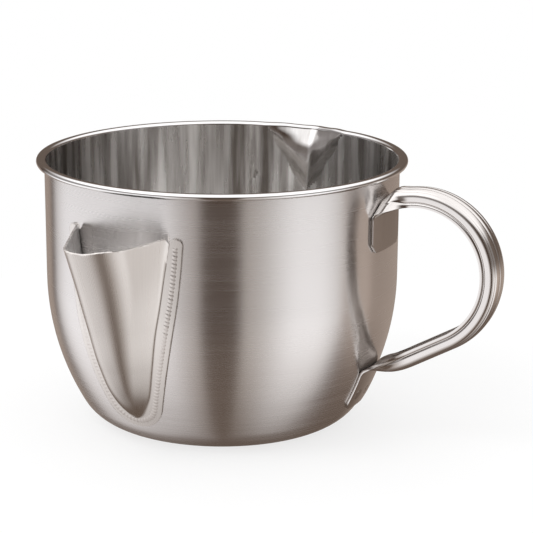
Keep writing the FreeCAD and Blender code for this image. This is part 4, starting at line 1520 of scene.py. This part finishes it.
    def spread_half(self, across: float, bend: float) -> float:
        """Flat half width of the strap where it is half across wide and its sides are bent.

        Args:
            across: Half the width that it spans.
            bend: How far its sides are bent down, from 0 to 1.

        Returns:
            Half its width on the flat sheet.
        """
        bent = self.crown + self.corner_run
        return bent + (across - self.section(bend, 0.0, bent)[0]) / math.cos(bend * math.pi / 2)

    def spot_welds(self, tab: Tab) -> bpy.types.Object:
        """Two spot welds on a tab's outer side, as faint discs.

        Args:
            tab: Which tab they hold.

        Returns:
            The pair, as one piece.
        """
        across, height = self.upper_spots if tab is Tab.UPPER else self.lower_spots
        lean = self.form.lean(height)
        face = self.form.radius(height, -self.strap - self.seat_gap)
        bm = bmesh.new()
        grain = bm.loops.layers.uv.new(GRAIN)
        for side in (-across, across):
            verts = [bm.verts.new((r, 0.0, z)) for r, z in self.spot_outline]
            edges = [bm.edges.new(pair) for pair in zip(verts, verts[1:])]
            bmesh.ops.spin(bm, geom=verts + edges, cent=(0, 0, 0), axis=(0, 0, 1),
                           angle=2 * math.pi, steps=self.spot_steps, use_merge=True)
            fresh = [vert for vert in bm.verts if not vert.tag]
            for vert in fresh:
                for loop in vert.link_loops:
                    loop[grain].uv = vert.co.xy
            turn = math.asin(side / face)
            outward = Vector((math.cos(lean) * math.cos(turn), math.cos(lean) * math.sin(turn),
                              -math.sin(lean)))
            spot = Matrix.Translation((face * math.cos(turn), side, height))
            aim = outward.to_track_quat("Z", "Y").to_matrix().to_4x4()
            bmesh.ops.transform(bm, matrix=spot @ aim, verts=fresh)
            for vert in fresh:
                vert.tag = True
        bmesh.ops.remove_doubles(bm, verts=bm.verts, dist=1e-4)
        bmesh.ops.recalc_face_normals(bm, faces=bm.faces)
        welds = as_object(f"{tab.value}_spot_welds", bm)
        welds.data.materials.append(TINT.make())
        return welds


# ---------------------------------------------------------------- studio

@dataclass(frozen=True)
class Panel:
    """A soft bright panel of the light tent.

    Attributes:
        middle: Azimuth of its middle, in degrees to the right of the camera.
        half: Half its width, in degrees.
        soft: Width of its soft edge, in degrees.
        glow: Light that it adds.
        foot: Share of that light at its lower end.
        low: Height of that lower end, in degrees.
    """

    middle: float
    half: float
    soft: float
    glow: Colour
    foot: float
    low: float


@dataclass
class Studio:
    """White floor and background, a light tent that only the metal sees, a soft lamp and the camera.

    Attributes:
        camera_azimuth: Azimuth of the camera, in degrees from -Y towards +X.
        pitch: Angle by which the camera looks down, in radians.
        distance: Distance of the camera from the point on the axis that it is aimed at.
        look_height: Height of that point.
        focal_pixels: Focal length, in pixels of the photograph.
        centre_pixel: Pixel that the point falls on.
        frame_pixels: Width and height of the photograph, in pixels.
        sensor: Width of the camera's sensor.
        world_light: Strength of the white world, unseen and seen.
        floor_radius: Radius of the floor.
        floor_sides: Sides that the round floor has.
        floor_colour: Colour of the floor's matt share.
        floor_glow: Share of the floor that glows plain white where it is seen.
        tent_radius: Radius of the light tent.
        tent_steps: Steps of the tent's mesh from foot to top and round.
        gap_glow: Glow of the tent between the panels.
        foot_glow: Glow of the tent's foot.
        foot_ends: Heights between which the foot's glow gives way, in degrees.
        panels: The bright panels.
        panels_full: Height at which they reach their full glow, in degrees.
        horizon: Heights between which they fade, in degrees.
        horizon_share: Share of their glow that is left above the horizon.
        ceiling: Glow of the ceiling.
        ceiling_ends: Heights between which it sets in, in degrees.
        lamp_place: Place of the soft lamp, in metres.
        lamp_size: Its diameter, in metres.
        lamp_power: Its power, in watts.
    """

    camera_azimuth: float = 26.0
    pitch: float = 0.2632
    distance: float = 850.0
    look_height: float = 50.0
    focal_pixels: float = 2218.0
    centre_pixel: tuple[float, float] = (222.1, 287.8)
    frame_pixels: float = 533.0
    sensor: float = 36.0
    world_light: tuple[float, float] = (1.1, 1.0)
    floor_radius: float = 230.0
    floor_sides: int = 96
    floor_colour: Colour = (0.92, 0.92, 0.92)
    floor_glow: float = 0.72
    tent_radius: float = 1600.0
    tent_steps: tuple[int, int] = (24, 96)
    gap_glow: Colour = (0.075, 0.052, 0.040)
    foot_glow: Colour = (0.15, 0.112, 0.09)
    foot_ends: tuple[float, float] = (-32.0, -16.0)
    panels: tuple[Panel, ...] = (
        Panel(-75.0, 57.0, 8.0, (0.46, 0.44, 0.43), 0.17, -75.0),
        Panel(-80.0, 35.0, 30.0, (0.62, 0.65, 0.69), 0.17, -75.0),
        Panel(47.0, 31.0, 8.0, (0.48, 0.46, 0.44), 0.08, -75.0),
        Panel(57.0, 5.0, 38.0, (0.68, 0.71, 0.75), 0.08, -75.0),
        Panel(149.0, 65.0, 6.0, (0.32, 0.27, 0.235), 0.0, -34.0),
        Panel(101.0, 5.0, 9.0, (0.19, 0.165, 0.15), 0.0, -34.0),
    )
    panels_full: float = -18.0
    horizon: tuple[float, float] = (-9.0, 3.0)
    horizon_share: float = 0.2
    ceiling: Colour = (1.13, 1.14, 1.16)
    ceiling_ends: tuple[float, float] = (22.0, 38.0)
    lamp_place: tuple[float, float, float] = (-0.55, -0.9, 1.35)
    lamp_size: float = 0.9
    lamp_power: float = 6.0

    def build(self) -> None:
        """Build the studio."""
        self.world()
        self.floor()
        self.tent()
        self.lamp()
        self.camera()

    def world(self) -> None:
        """White world that lights the floor at a plain level."""
        world = bpy.data.worlds.new("studio")
        bpy.context.scene.world = world
        world.use_nodes = True
        nodes = Nodes(world.node_tree)
        strength = nodes.spread(self.seen(nodes), *self.world_light)
        light = nodes.add("ShaderNodeBackground", {"Color": WHITE, "Strength": strength})
        nodes.add("ShaderNodeOutputWorld", {"Surface": light.outputs[0]})

    @staticmethod
    def seen(nodes: Nodes) -> bpy.types.NodeSocket:
        """Tell rays that see a surface from those that only light it.

        Args:
            nodes: The node tree.

        Returns:
            One where the camera, a reflection or a refraction looks, and nought elsewhere.
        """
        path = nodes.add("ShaderNodeLightPath")
        pair = nodes.calc("MAXIMUM", path.outputs["Is Camera Ray"], path.outputs["Is Glossy Ray"])
        return nodes.calc("MAXIMUM", pair, path.outputs["Is Transmission Ray"])

    def floor(self) -> None:
        """Pale round floor that keeps the pot's soft shadow."""
        bm = bmesh.new()
        bmesh.ops.create_circle(bm, cap_ends=True, segments=self.floor_sides,
                                radius=self.floor_radius * MM)
        floor = as_object("floor", bm)
        material = bpy.data.materials.new("pale_floor")
        material.use_nodes = True
        nodes = Nodes(material.node_tree)
        matt = nodes.add("ShaderNodeBsdfDiffuse", {"Color": (*self.floor_colour, 1.0)})
        glow = nodes.add("ShaderNodeEmission", {"Color": WHITE, "Strength": 1.0})
        share = nodes.calc("MULTIPLY", self.seen(nodes), self.floor_glow)
        mixed = nodes.add("ShaderNodeMixShader", {0: share, 1: matt.outputs[0], 2: glow.outputs[0]})
        nodes.add("ShaderNodeOutputMaterial", {"Surface": mixed.outputs[0]})
        floor.data.materials.append(material)
        floor.visible_glossy = False

    def tent(self) -> None:
        """Round tent with soft panels, which only reflections in the metal see."""
        bm = bmesh.new()
        steps, sides = self.tent_steps
        lowest, highest = -math.pi / 2, math.pi / 2
        arc = [lowest + (highest - lowest) * step / steps for step in range(steps + 1)]
        radius = self.tent_radius * MM
        verts = [bm.verts.new((radius * math.cos(k), 0.0, radius * math.sin(k))) for k in arc]
        edges = [bm.edges.new(pair) for pair in zip(verts, verts[1:])]
        bmesh.ops.spin(bm, geom=verts + edges, cent=(0, 0, 0), axis=(0, 0, 1), angle=2 * math.pi,
                       steps=sides, use_merge=True)
        bmesh.ops.remove_doubles(bm, verts=bm.verts, dist=1e-5)
        tent = as_object("light_tent", bm)
        tent.data.shade_smooth()
        tent.visible_camera = False
        tent.visible_diffuse = False
        tent.visible_shadow = False
        tent.visible_transmission = False
        tent.data.materials.append(self.tent_material())

    def tent_material(self) -> bpy.types.Material:
        """Glow of the tent, by azimuth and height round the pot.

        Returns:
            The new material.
        """
        material = bpy.data.materials.new("tent_glow")
        material.use_nodes = True
        nodes = Nodes(material.node_tree)
        spot = nodes.add("ShaderNodeTexCoord").outputs["Object"]
        towards = math.radians(self.camera_azimuth - 90.0)
        own = nodes.add("ShaderNodeVectorRotate", {"Vector": spot, "Angle": -towards},
                        rotation_type="Z_AXIS").outputs[0]
        x, y, z = nodes.add("ShaderNodeSeparateXYZ", {0: own}).outputs
        degrees = 180.0 / math.pi
        azimuth = nodes.calc("MULTIPLY", nodes.calc("ARCTAN2", y, x), degrees)
        squares = nodes.calc("ADD", nodes.calc("MULTIPLY", x, x), nodes.calc("MULTIPLY", y, y))
        level = nodes.calc("SQRT", squares)
        height = nodes.calc("MULTIPLY", nodes.calc("ARCTAN2", z, level), degrees)
        total = nodes.add("ShaderNodeCombineXYZ").outputs[0]
        for panel in self.panels:
            rising = nodes.spread(height, panel.foot, 1.0, panel.low, self.panels_full)
            share = nodes.calc("MULTIPLY", self.window(nodes, azimuth, panel), rising)
            total = self.brighten(nodes, total, panel.glow, share)
        above = nodes.spread(height, 1.0, self.horizon_share, *self.horizon)
        total = nodes.add("ShaderNodeVectorMath", {0: total, "Scale": above},
                          operation="SCALE").outputs[0]
        middle = nodes.spread(height, 0.0, 1.0, *self.foot_ends)
        total = self.brighten(nodes, total, self.gap_glow, middle)
        total = self.brighten(nodes, total, self.foot_glow, nodes.calc("SUBTRACT", 1.0, middle))
        top = nodes.spread(height, 0.0, 1.0, *self.ceiling_ends)
        total = self.brighten(nodes, total, self.ceiling, top)
        light = nodes.add("ShaderNodeEmission", {"Color": total, "Strength": 1.0})
        nodes.add("ShaderNodeOutputMaterial", {"Surface": light.outputs[0]})
        return material

    @staticmethod
    def brighten(nodes: Nodes, total: bpy.types.NodeSocket, glow: Colour,
                 share: bpy.types.NodeSocket) -> bpy.types.NodeSocket:
        """Add a share of a glow to what there is.

        Args:
            nodes: The node tree.
            total: Glow so far.
            glow: Glow to add.
            share: Share of it.

        Returns:
            The sum.
        """
        extra = nodes.add("ShaderNodeVectorMath", {0: glow, "Scale": share}, operation="SCALE")
        return nodes.add("ShaderNodeVectorMath", {0: total, 1: extra.outputs[0]},
                         operation="ADD").outputs[0]

    @staticmethod
    def window(nodes: Nodes, azimuth: bpy.types.NodeSocket, panel: Panel) -> bpy.types.NodeSocket:
        """Share of a panel at an azimuth.

        Args:
            nodes: The node tree.
            azimuth: Azimuth in degrees.
            panel: The panel.

        Returns:
            One inside the panel and nought outside, with soft edges.
        """
        off = nodes.calc("WRAP", nodes.calc("SUBTRACT", azimuth, panel.middle), 180.0, -180.0)
        return nodes.add("ShaderNodeMapRange", {
            "Value": nodes.calc("ABSOLUTE", off), "From Min": panel.half,
            "From Max": panel.half + panel.soft, "To Min": 1.0, "To Max": 0.0,
        }, interpolation_type="SMOOTHSTEP").outputs["Result"]

    def lamp(self) -> None:
        """Large soft lamp above and to the left of the camera."""
        data = bpy.data.lights.new("soft_lamp", "AREA")
        data.shape = "DISK"
        data.size = self.lamp_size
        data.energy = self.lamp_power
        lamp = bpy.data.objects.new("soft_lamp", data)
        bpy.context.scene.collection.objects.link(lamp)
        lamp.location = self.lamp_place
        lamp.rotation_mode = "QUATERNION"
        lamp.rotation_quaternion = lamp.location.to_track_quat("Z", "Y")

    def camera(self) -> None:
        """Camera at the photograph's place, with its long lens and small shift."""
        turn = math.radians(self.camera_azimuth)
        ahead = Vector((-math.sin(turn) * math.cos(self.pitch), math.cos(turn) * math.cos(self.pitch),
                        -math.sin(self.pitch)))
        data = bpy.data.cameras.new("camera")
        data.sensor_width = self.sensor
        data.lens = self.focal_pixels / self.frame_pixels * self.sensor
        data.shift_x = (self.frame_pixels / 2 - self.centre_pixel[0]) / self.frame_pixels
        data.shift_y = (self.centre_pixel[1] - self.frame_pixels / 2) / self.frame_pixels
        data.clip_start, data.clip_end = 0.05, 20.0
        camera = bpy.data.objects.new("camera", data)
        bpy.context.scene.collection.objects.link(camera)
        camera.location = (Vector((0.0, 0.0, self.look_height)) - ahead * self.distance) * MM
        camera.rotation_mode = "QUATERNION"
        camera.rotation_quaternion = ahead.to_track_quat("-Z", "Y")
        bpy.context.scene.camera = camera


def main() -> None:
    """Build the pot piece by piece, then the studio."""
    logging.basicConfig(level=logging.INFO, format="%(name)s %(message)s")
    bpy.context.scene.view_settings.view_transform = "Standard"
    for assembly in (Bowl(), SideSpout(), Handle()):
        for piece in assembly.build():
            log.info("%s rides on the pot", piece.name)
    Studio().build()


if __name__ == "__main__":
    main()
